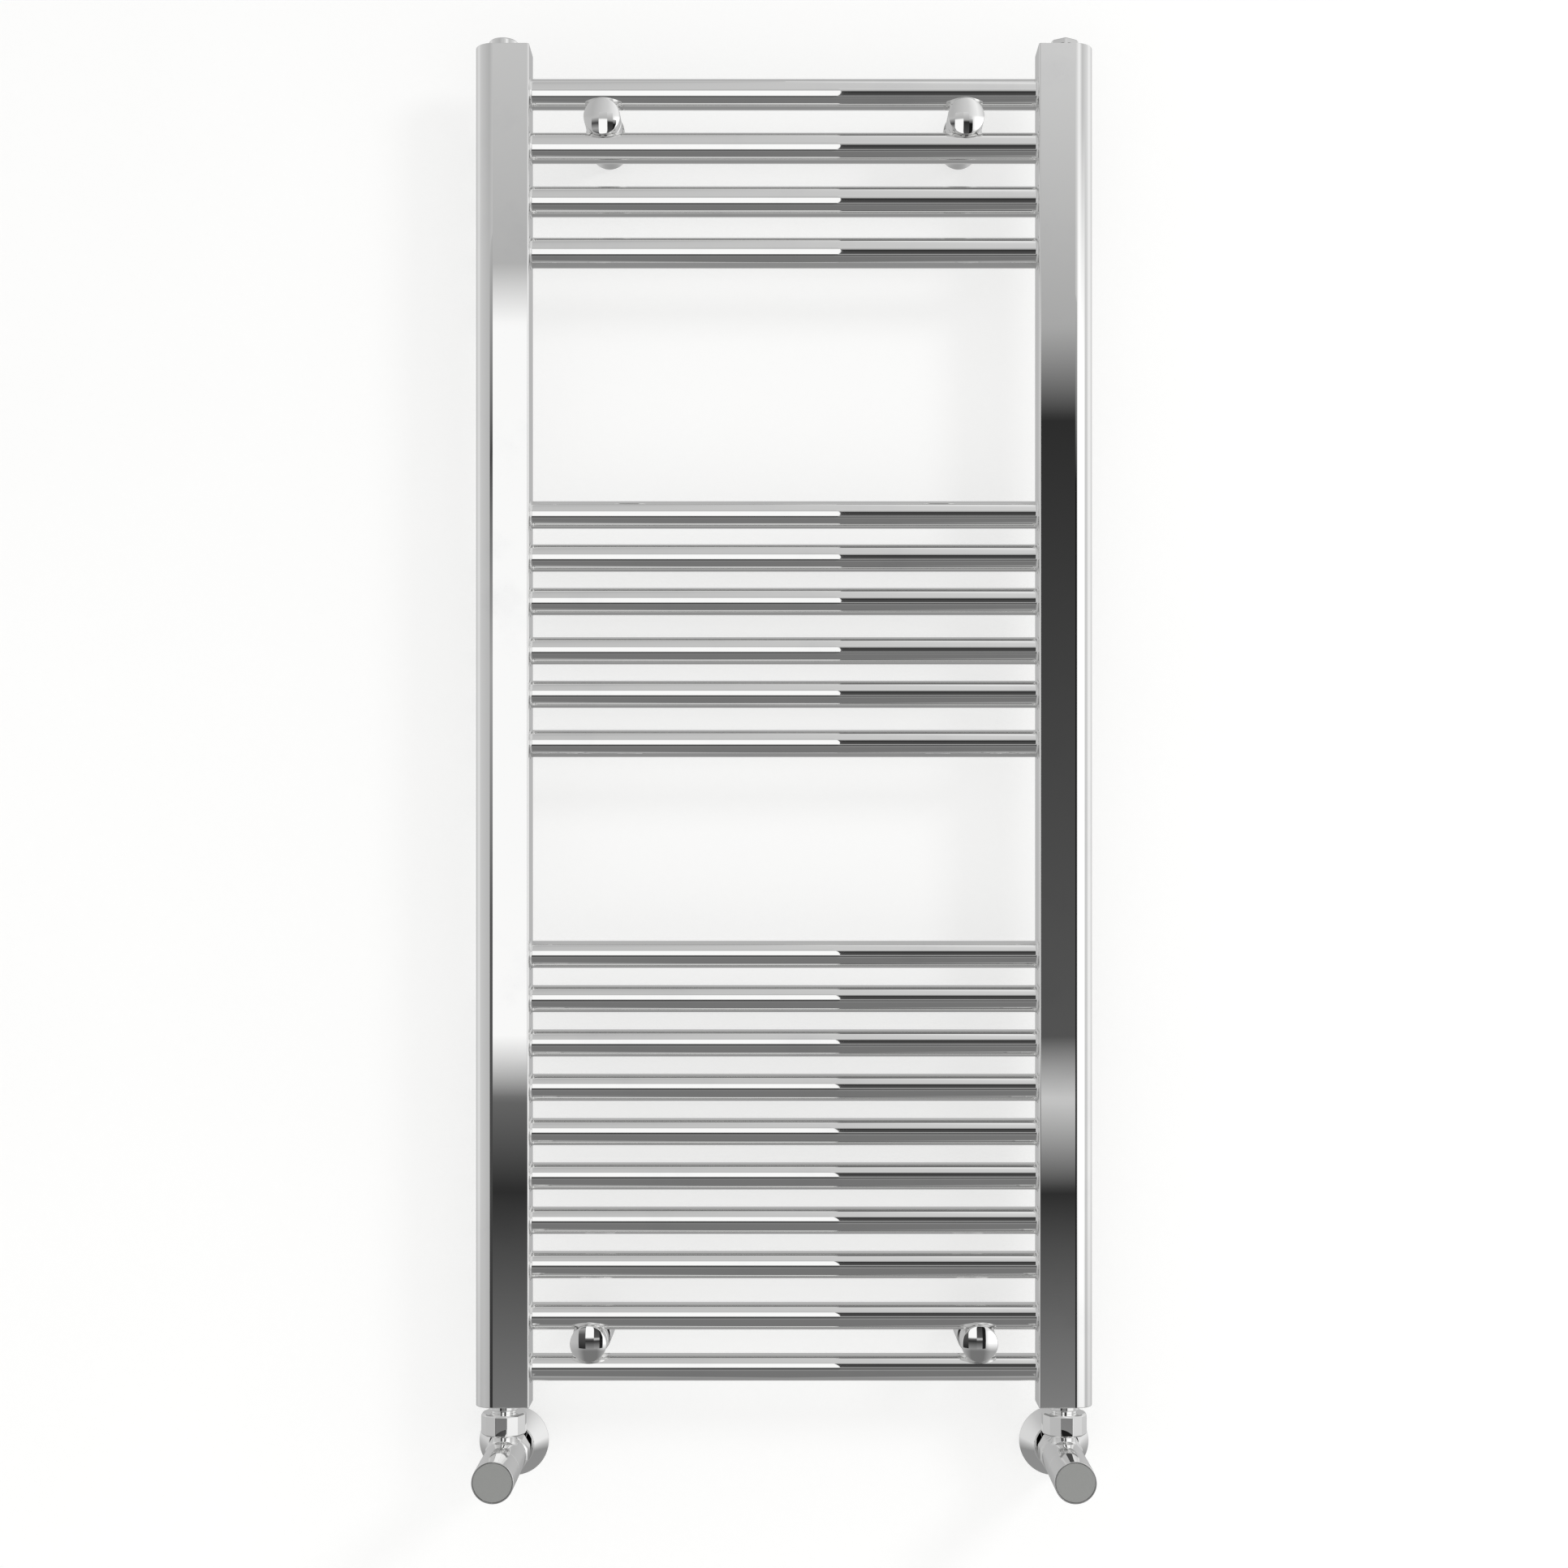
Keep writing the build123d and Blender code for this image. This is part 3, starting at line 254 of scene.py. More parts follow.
# %% The polish group
def make_polish_group():
    """Haze = broad noise raised by contrast; drops = the middles of small Voronoi cells within the haze.
    Height is a slow noise for the ripple. All are read from object coordinates."""
    tree, start, end = new_group(
        "polish",
        [("Roughness", "NodeSocketFloat", 0.04), ("Haze", "NodeSocketFloat", 0.05),
         ("Ripple size", "NodeSocketFloat", 30.0), ("Tint", "NodeSocketColor", (0.9, 0.9, 0.9, 1)),
         ("Haze tint", "NodeSocketColor", (0.8, 0.8, 0.8, 1))],
        [("Color", "NodeSocketColor"), ("Roughness", "NodeSocketFloat"), ("Height", "NodeSocketFloat")],
    )
    link = tree.links.new
    place = node(tree, "ShaderNodeTexCoord")
    broad = node(tree, "ShaderNodeTexNoise", Scale=14.0, Detail=5.0, Roughness=0.6)
    link(place.outputs["Object"], broad.inputs["Vector"])
    patches = node(tree, "ShaderNodeMapRange", interpolation_type="SMOOTHSTEP")
    patches.inputs["From Min"].default_value = 0.5
    patches.inputs["From Max"].default_value = 0.75
    link(broad.outputs["Fac"], patches.inputs["Value"])
    cells = node(tree, "ShaderNodeTexVoronoi", Scale=260.0, Randomness=1.0)
    link(place.outputs["Object"], cells.inputs["Vector"])
    specks = node(tree, "ShaderNodeMapRange", interpolation_type="SMOOTHSTEP")
    specks.inputs["From Min"].default_value = 0.22
    specks.inputs["From Max"].default_value = 0.1
    link(cells.outputs["Distance"], specks.inputs["Value"])
    wet = node(tree, "ShaderNodeMath", operation="MULTIPLY")
    link(specks.outputs["Result"], wet.inputs[0])
    link(patches.outputs["Result"], wet.inputs[1])
    marks = node(tree, "ShaderNodeMath", operation="MULTIPLY_ADD")
    marks.inputs[1].default_value = 0.8
    link(wet.outputs["Value"], marks.inputs[0])
    link(patches.outputs["Result"], marks.inputs[2])
    rough = node(tree, "ShaderNodeMath", operation="MULTIPLY_ADD")
    link(marks.outputs["Value"], rough.inputs[0])
    link(start.outputs["Haze"], rough.inputs[1])
    link(start.outputs["Roughness"], rough.inputs[2])
    shade = node(tree, "ShaderNodeMix", data_type="RGBA")
    link(marks.outputs["Value"], shade.inputs["Factor"])
    link(start.outputs["Tint"], shade.inputs[6])
    link(start.outputs["Haze tint"], shade.inputs[7])
    ripple = node(tree, "ShaderNodeTexNoise", Detail=1.0, Roughness=0.4)
    link(place.outputs["Object"], ripple.inputs["Vector"])
    link(start.outputs["Ripple size"], ripple.inputs["Scale"])
    link(shade.outputs[2], end.inputs["Color"])
    link(rough.outputs["Value"], end.inputs["Roughness"])
    link(ripple.outputs["Fac"], end.inputs["Height"])
    return tree


POLISH = make_polish_group()
print("node group", POLISH.name)


# %% Metal finishes
def make_metal(name, tint, haze_tint, roughness, haze, ripple_size, ripple_depth):
    """A metallic surface whose colour, roughness and ripple come from the polish group."""
    material, tree, shader = new_material(name)
    shader.inputs["Metallic"].default_value = 1.0
    polish = tree.nodes.new("ShaderNodeGroup")
    polish.node_tree = POLISH
    polish.inputs["Tint"].default_value = (*tint, 1)
    polish.inputs["Haze tint"].default_value = (*haze_tint, 1)
    polish.inputs["Roughness"].default_value = roughness
    polish.inputs["Haze"].default_value = haze
    polish.inputs["Ripple size"].default_value = ripple_size
    bump = node(tree, "ShaderNodeBump", Strength=1.0, Distance=ripple_depth)
    tree.links.new(polish.outputs["Height"], bump.inputs["Height"])
    tree.links.new(polish.outputs["Color"], shader.inputs["Base Color"])
    tree.links.new(polish.outputs["Roughness"], shader.inputs["Roughness"])
    tree.links.new(bump.outputs["Normal"], shader.inputs["Normal"])
    return material


CHROME_TINT = (0.86, 0.86, 0.855)
CHROME_HAZE = (0.82, 0.82, 0.82)
tube_chrome = make_metal("tube_chrome", CHROME_TINT, CHROME_HAZE, 0.012, 0.02, 9.0, 0.0001)
fitting_chrome = make_metal("fitting_chrome", CHROME_TINT, CHROME_HAZE, 0.015, 0.02, 60.0, 0.00001)
machined_brass = make_metal("machined_brass", (0.78, 0.6, 0.3), (0.62, 0.45, 0.22), 0.22, 0.2, 400.0, 0.00002)
zinc_steel = make_metal("zinc_steel", (0.6, 0.6, 0.62), (0.45, 0.45, 0.48), 0.28, 0.2, 400.0, 0.00002)
print("metals made")


def chromed_piece(name, shells, cad_node, sharp=32, body="radiator"):
    """A piece in fitting chrome, in the place of one CAD node."""
    return make_piece(name, shells, fitting_chrome, body, [cad_node], sharp)


# %% [markdown]
# The two discs are satin grey, moulded or anodised, with a grain too fine to count; the seals are black
# rubber with a dull bloom. Neither mirrors anything, so both use a dielectric shader with a fine bump.

# %% Satin and rubber finishes
def mottle(tree, shader, colour, second, scale, detail):
    """Mixes two near colours into the shader by a noise of the object's own coordinates; returns the noise."""
    place = node(tree, "ShaderNodeTexCoord")
    noise = node(tree, "ShaderNodeTexNoise", Scale=scale, Detail=detail)
    tree.links.new(place.outputs["Object"], noise.inputs["Vector"])
    shade = node(tree, "ShaderNodeMix", data_type="RGBA")
    shade.inputs[6].default_value = (*colour, 1)
    shade.inputs[7].default_value = (*second, 1)
    tree.links.new(noise.outputs["Fac"], shade.inputs["Factor"])
    tree.links.new(shade.outputs[2], shader.inputs["Base Color"])
    return noise.outputs["Fac"]


def make_matt(name, colour, second, roughness, grain_scale, grain_depth):
    """A dull surface: two near colours mixed by a fine noise, which also is the bump."""
    material, tree, shader = new_material(name)
    grain = mottle(tree, shader, colour, second, grain_scale, 4.0)
    spread = node(tree, "ShaderNodeMapRange")
    spread.inputs["To Min"].default_value = roughness - 0.06
    spread.inputs["To Max"].default_value = roughness + 0.06
    tree.links.new(grain, spread.inputs["Value"])
    tree.links.new(spread.outputs["Result"], shader.inputs["Roughness"])
    bump = node(tree, "ShaderNodeBump", Strength=1.0, Distance=grain_depth)
    tree.links.new(grain, bump.inputs["Height"])
    tree.links.new(bump.outputs["Normal"], shader.inputs["Normal"])
    return material


disc_grey = make_matt("disc_grey", (0.33, 0.335, 0.325), (0.4, 0.405, 0.395), 0.42, 2500.0, 0.00001)
seal_rubber = make_matt("seal_rubber", (0.012, 0.012, 0.012), (0.03, 0.03, 0.03), 0.7, 1500.0, 0.00002)
print("matt finishes made")

# %% [markdown]
# ## Rails
# A rail is one straight tube, let into a hole in each collector and brazed. The braze runs round the joint
# as a small hollow-sided bead, which chrome turns into a dark ring with a bright rim. The tube is turned
# about its own axis; the bead's edge is allowed to wander a little, as a braze does.

# %% Rails
BEAD = 2.0 * MM
TUBE_WALL = 1.2 * MM
COLLECTOR_WALL = 1.5 * MM


def rail_shell(low, high):
    """A closed tube profile: the bore, then the skin, with a quarter-circle hollow of the bead's size up to
    each collector. The bead's reach swells and shrinks by a few hundredths of a millimetre round the
    tube."""
    end = high[0]
    face = end - COLLECTOR_WALL
    radius = (high[2] - low[2]) / 2 - BEAD
    turn = np.linspace(0, math.pi / 2, 10)
    land = face - 0.2 * MM
    hollow = np.stack([land - BEAD * (1 - np.cos(turn)), radius + BEAD * (1 - np.sin(turn))], axis=1)
    half = [[end, radius - TUBE_WALL], [end, radius], [face, radius], [face, radius + BEAD]]
    half = np.concatenate([half, hollow, [[land - BEAD - 0.4 * MM, radius]]])
    skin = np.concatenate([half, half[::-1] * [-1, 1]])
    along, reach = skin.T
    spokes = round_spokes(96)
    angle = np.arctan2(spokes[:, 1], spokes[:, 0])
    wander = 0.06 * MM * (np.sin(5 * angle) + 0.6 * np.sin(11 * angle + 1) + 0.4 * np.sin(17 * angle + 2) - 2)
    on_bead = np.clip((reach - radius) / BEAD, 0, 1)
    centre = (0, (low[1] + high[1]) / 2, (low[2] + high[2]) / 2)
    return swept(along, reach[:, None] + wander * on_bead[:, None], spokes, centre, "x")


rail_nodes = sorted(name for name in frame["nodes"] if name.startswith("rail_"))
for rail_node in rail_nodes:
    shell = rail_shell(*span(rail_node))
    make_piece("tube_" + rail_node, [(shell, True)], tube_chrome, "radiator", [rail_node], 40)
print(len(rail_nodes), "rails")

# %% [markdown]
# ## Collectors
# The section is a D: a flat towards the rails, a flat front and back, and a half circle outside. A drawn
# tube has a tighter corner than a bent one, so the two inner corners get a small radius. The section is
# carried straight up, and the wall is closed over at both ends with a plate that is ground flush.

# %% Collectors
CORNER = 1.5 * MM


def d_outline(side, inset):
    """The D as a closed loop of points: two eased corners, then a half circle. Returned about the world
    origin in X and Y, spaced so that every inset of it has the same number of points."""
    low_x = COLLECTOR_LOW[0] + inset
    half = (COLLECTOR_HIGH[1] - COLLECTOR_LOW[1]) / 2 - inset
    round_x = COLLECTOR_HIGH[0] - (COLLECTOR_HIGH[1] - COLLECTOR_LOW[1]) / 2
    corner = max(CORNER - inset, 0.4 * MM)
    flat = np.array([[round_x, half], [low_x, half], [low_x, -half], [round_x, -half]])
    run = propped(eased(flat, corner, closed=False, steps=8), closed=False)
    swing = np.linspace(-math.pi / 2, math.pi / 2, 48)[1:-1]
    arc = np.stack([round_x + half * np.cos(swing), half * np.sin(swing)], axis=1)
    loop = np.concatenate([run, arc])
    return loop * [side, 1] + [0, RAIL_Y]


def risen(outlines, heights):
    """A grid whose rows are the outlines, each at its height."""
    rows = [np.column_stack([outline, np.full(len(outline), height)])
            for outline, height in zip(outlines, heights)]
    return np.stack(rows)


def collector_shell(side):
    """Outer skin up, over the eased rim, down the inner skin and back: a closed ring of rows. A row is
    added just inside each rim, to keep the long wall's shading straight."""
    rim = 0.4 * MM
    turn = np.linspace(0, math.pi / 2, 5)
    rise = np.append(-2 * rim, rim * (np.sin(turn) - 1))
    inward = np.append(0, rim * (1 - np.cos(turn)))
    insets = np.concatenate([inward, [COLLECTOR_WALL, COLLECTOR_WALL], inward[::-1]])
    heights = np.concatenate([TOP_Z + rise, [TOP_Z, BASE_Z], BASE_Z - rise[::-1]])
    outlines = [d_outline(side, inset) for inset in insets]
    return risen(outlines, heights)


def plate_shell(side, end_z, inward):
    """An end plate with its socket: a ring of rows from the D outline to the round port and back outside
    the socket."""
    outline = d_outline(side, COLLECTOR_WALL)
    centre = np.array([side * PORT_X, RAIL_Y])
    spoke = outline - centre
    spoke /= np.linalg.norm(spoke, axis=1)[:, None]
    port, socket = centre + spoke * 10.0 * MM, centre + spoke * 13.0 * MM
    rows = [outline, port, port, socket, socket, outline]
    depths = np.array([0, 0, 16, 16, 3, 3]) * MM * inward
    return risen(rows, end_z + depths)


for side_name, side in SIDES:
    node_name = side_name + "_collector"
    make_piece(side_name + "_tube_collector", [(collector_shell(side), True)], tube_chrome, "radiator",
               [node_name], 40)
plates = [(plate_shell(side, z, inward), True)
          for _, side in SIDES for z, inward in ((BASE_Z, 1), (TOP_Z, -1))]
make_piece("welded_end_sockets", plates, tube_chrome, "radiator", ["collector_end_sockets"])
print("collectors and end sockets")

# %% [markdown]
# ## Brackets
# A bracket clamps two rails between a domed cap in front and a saddle behind. Both are round bars in which
# the rails leave hollows, so their meeting faces are height fields over a disc: the further a point is from
# the middle, the nearer it is to a rail. The saddle's stem slides in a cup on the wall, to set the
# distance.

# %% Bracket caps
CORNERS = (("top_left", "rail_01", "rail_02"), ("top_right", "rail_01", "rail_02"),
           ("bottom_left", "rail_19", "rail_20"), ("bottom_right", "rail_19", "rail_20"))
CAP_FRONT = 13.0 * MM
BOLT_RADIUS = 3.0 * MM


def rail_hollow(height, upper_rail, lower_rail):
    """How far a bracket half stands off the rail plane at a height above its middle: the rail's own curve,
    sqrt(radius ** 2 - (half pitch - height) ** 2), and never less than half the gap between the halves."""
    upper, lower = span(upper_rail), span(lower_rail)
    radius = (upper[1][2] - upper[0][2]) / 2 - BEAD
    half_pitch = (upper[0] + upper[1] - lower[0] - lower[1])[2] / 4
    inside = radius ** 2 - (half_pitch - np.abs(height)) ** 2
    return np.maximum(0.75 * MM, np.sqrt(np.maximum(inside, 0)))


def cap_shell(low, high, upper_rail, lower_rail):
    """Rows from the middle of the dome out to its eased rim, back along the side to the height field, in
    over that and down the bolt's blind hole."""
    middle = (low + high) / 2
    radius = (high[0] - low[0]) / 2
    flat_y, tip_y = RAIL_Y - CAP_FRONT, low[1]
    dome = (flat_y - tip_y) / (radius - 0.7 * MM) ** 2
    reach = np.concatenate([np.linspace(0, radius - 1.5 * MM, 14), [radius, radius]])
    y = np.concatenate([tip_y + dome * reach[:-1] ** 2, [flat_y + 6 * MM]])
    front = eased(np.stack([y, reach], axis=1), np.r_[np.zeros(14), 0.7 * MM, 0], closed=False, steps=6)
    spokes = round_spokes(128)
    inner = np.array([radius, radius, radius - 0.3 * MM, *np.linspace(radius - 1 * MM, BOLT_RADIUS, 8)])
    field = RAIL_Y - rail_hollow(inner[:, None] * spokes[:, 0], upper_rail, lower_rail)
    field[0] -= 0.6 * MM
    field[1] -= 0.25 * MM
    blind = np.array([[RAIL_Y - 11 * MM, BOLT_RADIUS], [RAIL_Y - 11 * MM, 0]])
    side = np.minimum(front[:, :1], field[0])
    along = np.concatenate([side, field, np.broadcast_to(blind[:, :1], (2, 128))])
    reach = np.concatenate([front[:, 1], inner, blind[:, 1]])
    return swept(along, reach, spokes, (middle[0], 0, middle[2]))


for corner, upper_rail, lower_rail in CORNERS:
    cap_node = corner + "_bracket_cap"
    shell = cap_shell(*span(cap_node), upper_rail, lower_rail)
    chromed_piece("domed_" + cap_node, [(shell, False)], cap_node, 40)
print("4 bracket caps")


# %% Saddles and stems
def stem_shell(cap_low, cap_high, upper_rail, lower_rail):
    """A closed ring of rows: the height field outwards, the saddle's side, its back, the stem with a flat
    under it, the pocket for the bolt's head, and the bolt's hole back to the front."""
    middle = (cap_low + cap_high) / 2
    radius = (cap_high[0] - cap_low[0]) / 2
    spokes = round_spokes(128)
    outward = np.array([3.3, 5, 7, 9, 11, 12.5, 14.45, 14.75, 14.75]) * MM
    field = RAIL_Y + rail_hollow(outward[:, None] * spokes[:, 0], upper_rail, lower_rail)
    field[-2] += 0.25 * MM
    field[-1] += 0.6 * MM
    back = RAIL_Y + 17 * MM
    rest = np.array([[-56.0, 14.75], [-51.35, 14.75], [-51.1, 14.65], [-51, 14.4], [-51, 14.1], [-51, 11.0],
                     [-50.6, 11.0], [-47.05, 11.0], [-46.95, 11.0], [-20.6, 11.0], [-20.3, 11.0], [-20, 10.7],
                     [-20, 5.6], [-27, 5.6], [-27, 3.3]]) * MM
    rest[:, 0] += back + 51 * MM
    along = np.concatenate([field, np.broadcast_to(rest[:, :1], (len(rest), 128))])
    reach = np.broadcast_to(np.concatenate([outward, rest[:, 1]])[:, None], along.shape).copy()
    down = np.maximum(-spokes[:, 0], 1e-6)
    flat_rows = slice(len(outward) + 8, len(outward) + 12)
    reach[flat_rows] = np.minimum(reach[flat_rows], 10 * MM / down)
    return swept(along, reach, spokes, (middle[0], 0, middle[2]))


stems = [(stem_shell(*span(corner + "_bracket_cap"), upper, lower), True) for corner, upper, lower in CORNERS]
chromed_piece("bracket_saddles_and_stems", stems, "bracket_stems", 40)
print("4 saddles")

# %% [markdown]
# A wall cup is a turned bush with a blind bore. Its grub screw needs a round hole through the side, where
# two cylinders cross. That curve is awkward on a grid, so the hole is cut with a boolean, and the cutter
# removed.

# %% Wall cups
def cup_shell(low, high):
    """A closed ring: the side, the eased mouth, the bore, and the base with its countersunk screw hole."""
    middle = (low + high) / 2
    radius = (high[0] - low[0]) / 2
    mouth, wall = low[1], high[1]
    base = wall - 4 * MM
    corners = np.array([[wall, radius], [mouth, radius], [mouth, 11.05 * MM], [base, 11.05 * MM],
                        [base, 5.5 * MM], [base + 2.75 * MM, 2.75 * MM], [wall, 2.75 * MM]])
    rounding = np.array([0, 0.5, 0.2, 0.5, 0.1, 0.1, 0.1]) * MM
    profile = propped(eased(corners, rounding))
    return turned(profile, (middle[0], 0, middle[2]), columns=128)


def drill(piece, centre, radius, length):
    """Cuts a round upright hole: a 48-sided cylinder round centre, taken away by a boolean that is then
    baked."""
    cutter_mesh = bpy.data.meshes.new("cutter")
    ring = round_spokes(48) * radius
    ends = [np.column_stack([ring, np.full(48, height)]) + centre for height in (-length / 2, length / 2)]
    here = np.arange(48)
    sides = np.stack([here, np.roll(here, -1), np.roll(here, -1) + 48, here + 48], axis=1)
    faces = sides.tolist() + [here[::-1].tolist(), (here + 48).tolist()]
    cutter_mesh.from_pydata(np.concatenate(ends).tolist(), [], faces)
    cutter = bpy.data.objects.new("cutter", cutter_mesh)
    bpy.context.scene.collection.objects.link(cutter)
    hole = piece.modifiers.new("hole", "BOOLEAN")
    hole.object = cutter
    hole.solver = "EXACT"
    bpy.context.view_layer.update()
    baked = bpy.data.meshes.new_from_object(piece.evaluated_get(bpy.context.evaluated_depsgraph_get()))
    piece.modifiers.clear()
    piece.data = baked
    bpy.data.objects.remove(cutter)


for corner, _, _ in CORNERS:
    cup_node = corner + "_wall_cup"
    low, high = span(cup_node)
    cup = chromed_piece("turned_" + cup_node, [(cup_shell(low, high), True)], cup_node, 30, "wall_brackets")
    drill(cup, ((low[0] + high[0]) / 2, -33 * MM, low[2]), 2.55 * MM, 9 * MM)
print("4 wall cups, drilled")

# %% [markdown]
# ## Top plugs
# The left plug is an air vent: a bleed screw with a square stands in a recess. The right one is blank, with
# a hexagon socket for the key. A round, a hexagon and a square can share one grid when the columns are
# placed at the hexagon's own points, because a row may reach a different distance in each column.

# %% Plugs
def plug_rows(top, radius):
    """Rows common to both plugs, from the thread's end up the outside: (along, radius)."""
    head = eased([[TOP_Z, 10 * MM], [TOP_Z, radius], [top - 1.2 * MM, radius], [top, radius - 1.2 * MM],
                  [top, radius - 4 * MM]], np.array([0, 0.2, 0.35, 0.35, 0]) * MM, closed=False)
    thread = np.array([[TOP_Z - 11 * MM, 0], [TOP_Z - 11 * MM, 9.2 * MM], [TOP_Z - 10.2 * MM, 10 * MM]])
    return np.concatenate([thread, propped(head, closed=False)])


plug_high = span("blanking_plug")[1]
outside = plug_rows(plug_high[2], plug_high[0] - PORT_X)
spokes, hexagon = shape_of(polygon(6, 10 * MM, 0.3 * MM))
depth = plug_high[2] - 5 * MM
socket = np.array([[plug_high[2], 1.03], [plug_high[2] - 0.3 * MM, 1.0], [depth, 1.0], [depth, 0.0]])
along = np.concatenate([outside[:, 0], socket[:, 0]])
reach = np.concatenate([np.tile(outside[:, 1:], (1, len(spokes))), socket[:, 1:] * hexagon])
shell = swept(along, reach, spokes, (PORT_X, RAIL_Y, 0), "z")
chromed_piece("hexagon_blanking_plug", [(shell, False)], "blanking_plug", 25)

recess = np.array([[0, 4.5], [-0.25, 4.35], [-4, 4.35], [-4, 3.05], [-12, 3.05], [-12, 1.25],
                   [-17, 1.25]]) * MM
recess[:, 0] += plug_high[2]
vent = np.concatenate([outside[1:], recess])
shell = turned(vent, (-PORT_X, RAIL_Y, 0), "z")
chromed_piece("turned_air_vent_plug", [(shell, True)], "air_vent_plug", 25)

bleed_low, bleed_high = span("bleed_screw")
spokes, square = shape_of(polygon(4, 4 * MM, 0.3 * MM))
ledge = bleed_high[2] - 3.5 * MM
stem = np.array([[bleed_low[2], 0.0], [bleed_low[2], 1.4], [bleed_low[2] + 1.6 * MM, 3.0], [ledge, 3.0]])
head = np.array([[ledge, 1.0], [bleed_high[2] - 0.4 * MM, 1.0], [bleed_high[2], 0.8], [bleed_high[2], 0.0]])
along = np.concatenate([stem[:, 0], head[:, 0]])
reach = np.concatenate([np.tile(stem[:, 1:] * MM, (1, len(spokes))), head[:, 1:] * square])
make_piece("square_bleed_screw", [(swept(along, reach, spokes, (-PORT_X, RAIL_Y, 0), "z"), False)],
           machined_brass, "bleed_screw", ["bleed_screw"], 25)
print("plugs and bleed screw")

# %% [markdown]
# ## Nuts
# The nuts are twelve-sided. Their rims are turned down to a cone first, so each flat ends in a shallow arch
# where it meets the cone. Here the row that follows this meeting line has its own height in every column,
# which draws the arch exactly: height = slope * (distance of the flat from the axis - radius of the rim).

# %% Nuts
def nut_shell(rims, across_corners, rim_radius, rim_depth, inside, centre, axis, turn):
    """A closed ring: the lower rim's cone, the flats, the upper rim's cone, then the inside profile back
    down."""
    across_flats = across_corners * math.cos(math.pi / 12)
    spokes, flats = shape_of(polygon(12, across_flats, 0.7 * MM, turn))
    slope = rim_depth / (across_corners / 2 - rim_radius)
    arch = slope * (flats - rim_radius)
    low, high = rims
    flat_row = np.full_like(flats, 1.0)
    rows = [(flat_row * low, flat_row * (rim_radius - 0.5 * MM)), (flat_row * low, flat_row * rim_radius),
            (low + 0.2 * arch, rim_radius + 0.2 * (flats - rim_radius)),
            (low + arch - 0.1 * MM, flats - 0.1 * MM / slope), (low + arch + 0.1 * MM, flats),
            (low + arch + 0.5 * MM, flats), (high - arch - 0.5 * MM, flats), (high - arch - 0.1 * MM, flats),
            (high - arch + 0.1 * MM, flats - 0.1 * MM / slope),
            (high - 0.2 * arch, rim_radius + 0.2 * (flats - rim_radius)),
            (flat_row * high, flat_row * rim_radius), (flat_row * high, flat_row * (rim_radius - 0.5 * MM))]
    rows += [(flat_row * along, flat_row * reach) for along, reach in inside]
    along, reach = (np.stack(grid) for grid in zip(*rows))
    return swept(along, reach, spokes, centre, axis)


union_low, union_high = span("union_nuts")
thread_top = BASE_Z - 9.5 * MM
union_inside = [(union_high[2], 10.4 * MM), (union_high[2] - 0.25 * MM, 10.15 * MM), (thread_top, 10.15 * MM),
                (thread_top, 13.2 * MM), (union_low[2] + 0.3 * MM, 13.2 * MM), (union_low[2], 13.5 * MM)]
unions = [(nut_shell((union_low[2], union_high[2]), 36.8 * MM, 16.8 * MM, 1.4 * MM, union_inside,
                     (side * PORT_X, RAIL_Y, 0), "z", 0.0), True) for _, side in SIDES]
chromed_piece("twelve_sided_union_nuts", unions, "union_nuts", 24)

nut_low, nut_high = span("pipe_nuts")
pipe_nut_inside = [(nut_high[1], 7.6 * MM), (nut_high[1] - 2 * MM, 7.6 * MM),
                   (nut_high[1] - 5.5 * MM, 9.2 * MM),
                   (nut_high[1] - 5.5 * MM, 12 * MM), (nut_low[1], 12 * MM)]
pipe_nuts = [(nut_shell((nut_low[1], nut_high[1]), 36.0 * MM, 16.2 * MM, 1.1 * MM, pipe_nut_inside,
                        (side * PORT_X, 0, VALVE_Z), "y", 0.0), True) for _, side in SIDES]
chromed_piece("twelve_sided_pipe_nuts", pipe_nuts, "pipe_nuts", 24)
print("nuts")

# %% [markdown]
# ## Valves
# Each valve body is a barrel with an upright neck. A turned neck alone would cut the barrel in a hard line,
# but the real body is forged, so the neck flows out into the barrel with a small fillet. Its lowest rows
# therefore follow the barrel's own height, z = sqrt(R ** 2 - x ** 2), and the fillet's quarter circle is
# added to that.

# %% Valve bodies
BARREL_RADIUS = (span("right_valve_body")[1][0] - span("right_valve_body")[0][0]) / 2


def neck_shell(side):
    """Rows from the bore's foot up, over the thread's top, down the outside to the fillet and into the
    barrel."""
    spokes = round_spokes(96)
    top = BASE_Z - 14 * MM
    outer = np.array([[top, 7.0], [top, 12.9], [top - 0.3 * MM, 13.2], [BASE_Z - 23 * MM, 13.2],
                      [BASE_Z - 23 * MM, 11.2], [BASE_Z - 24.2 * MM, 11.2], [BASE_Z - 25 * MM, 9.8],
                      [BASE_Z - 25.3 * MM, 9.8]])
    turn = np.linspace(0, math.pi / 2, 9)
    fillet = 1.6 * MM
    reach = np.concatenate([outer[:, 1] * MM, 9.8 * MM + fillet * (1 - np.cos(turn)), [11 * MM, 7 * MM]])
    lift = np.concatenate([fillet * (1 - np.sin(turn)), [-1 * MM, -1 * MM]])
    across = reach[len(outer):, None] * spokes[:, 0]
    on_barrel = VALVE_Z + np.sqrt(BARREL_RADIUS ** 2 - across ** 2) + lift[:, None]
    along = np.concatenate([np.tile(outer[:, :1], (1, 96)), on_barrel])
    return swept(along, reach, spokes, (side * PORT_X, RAIL_Y, 0), "z")


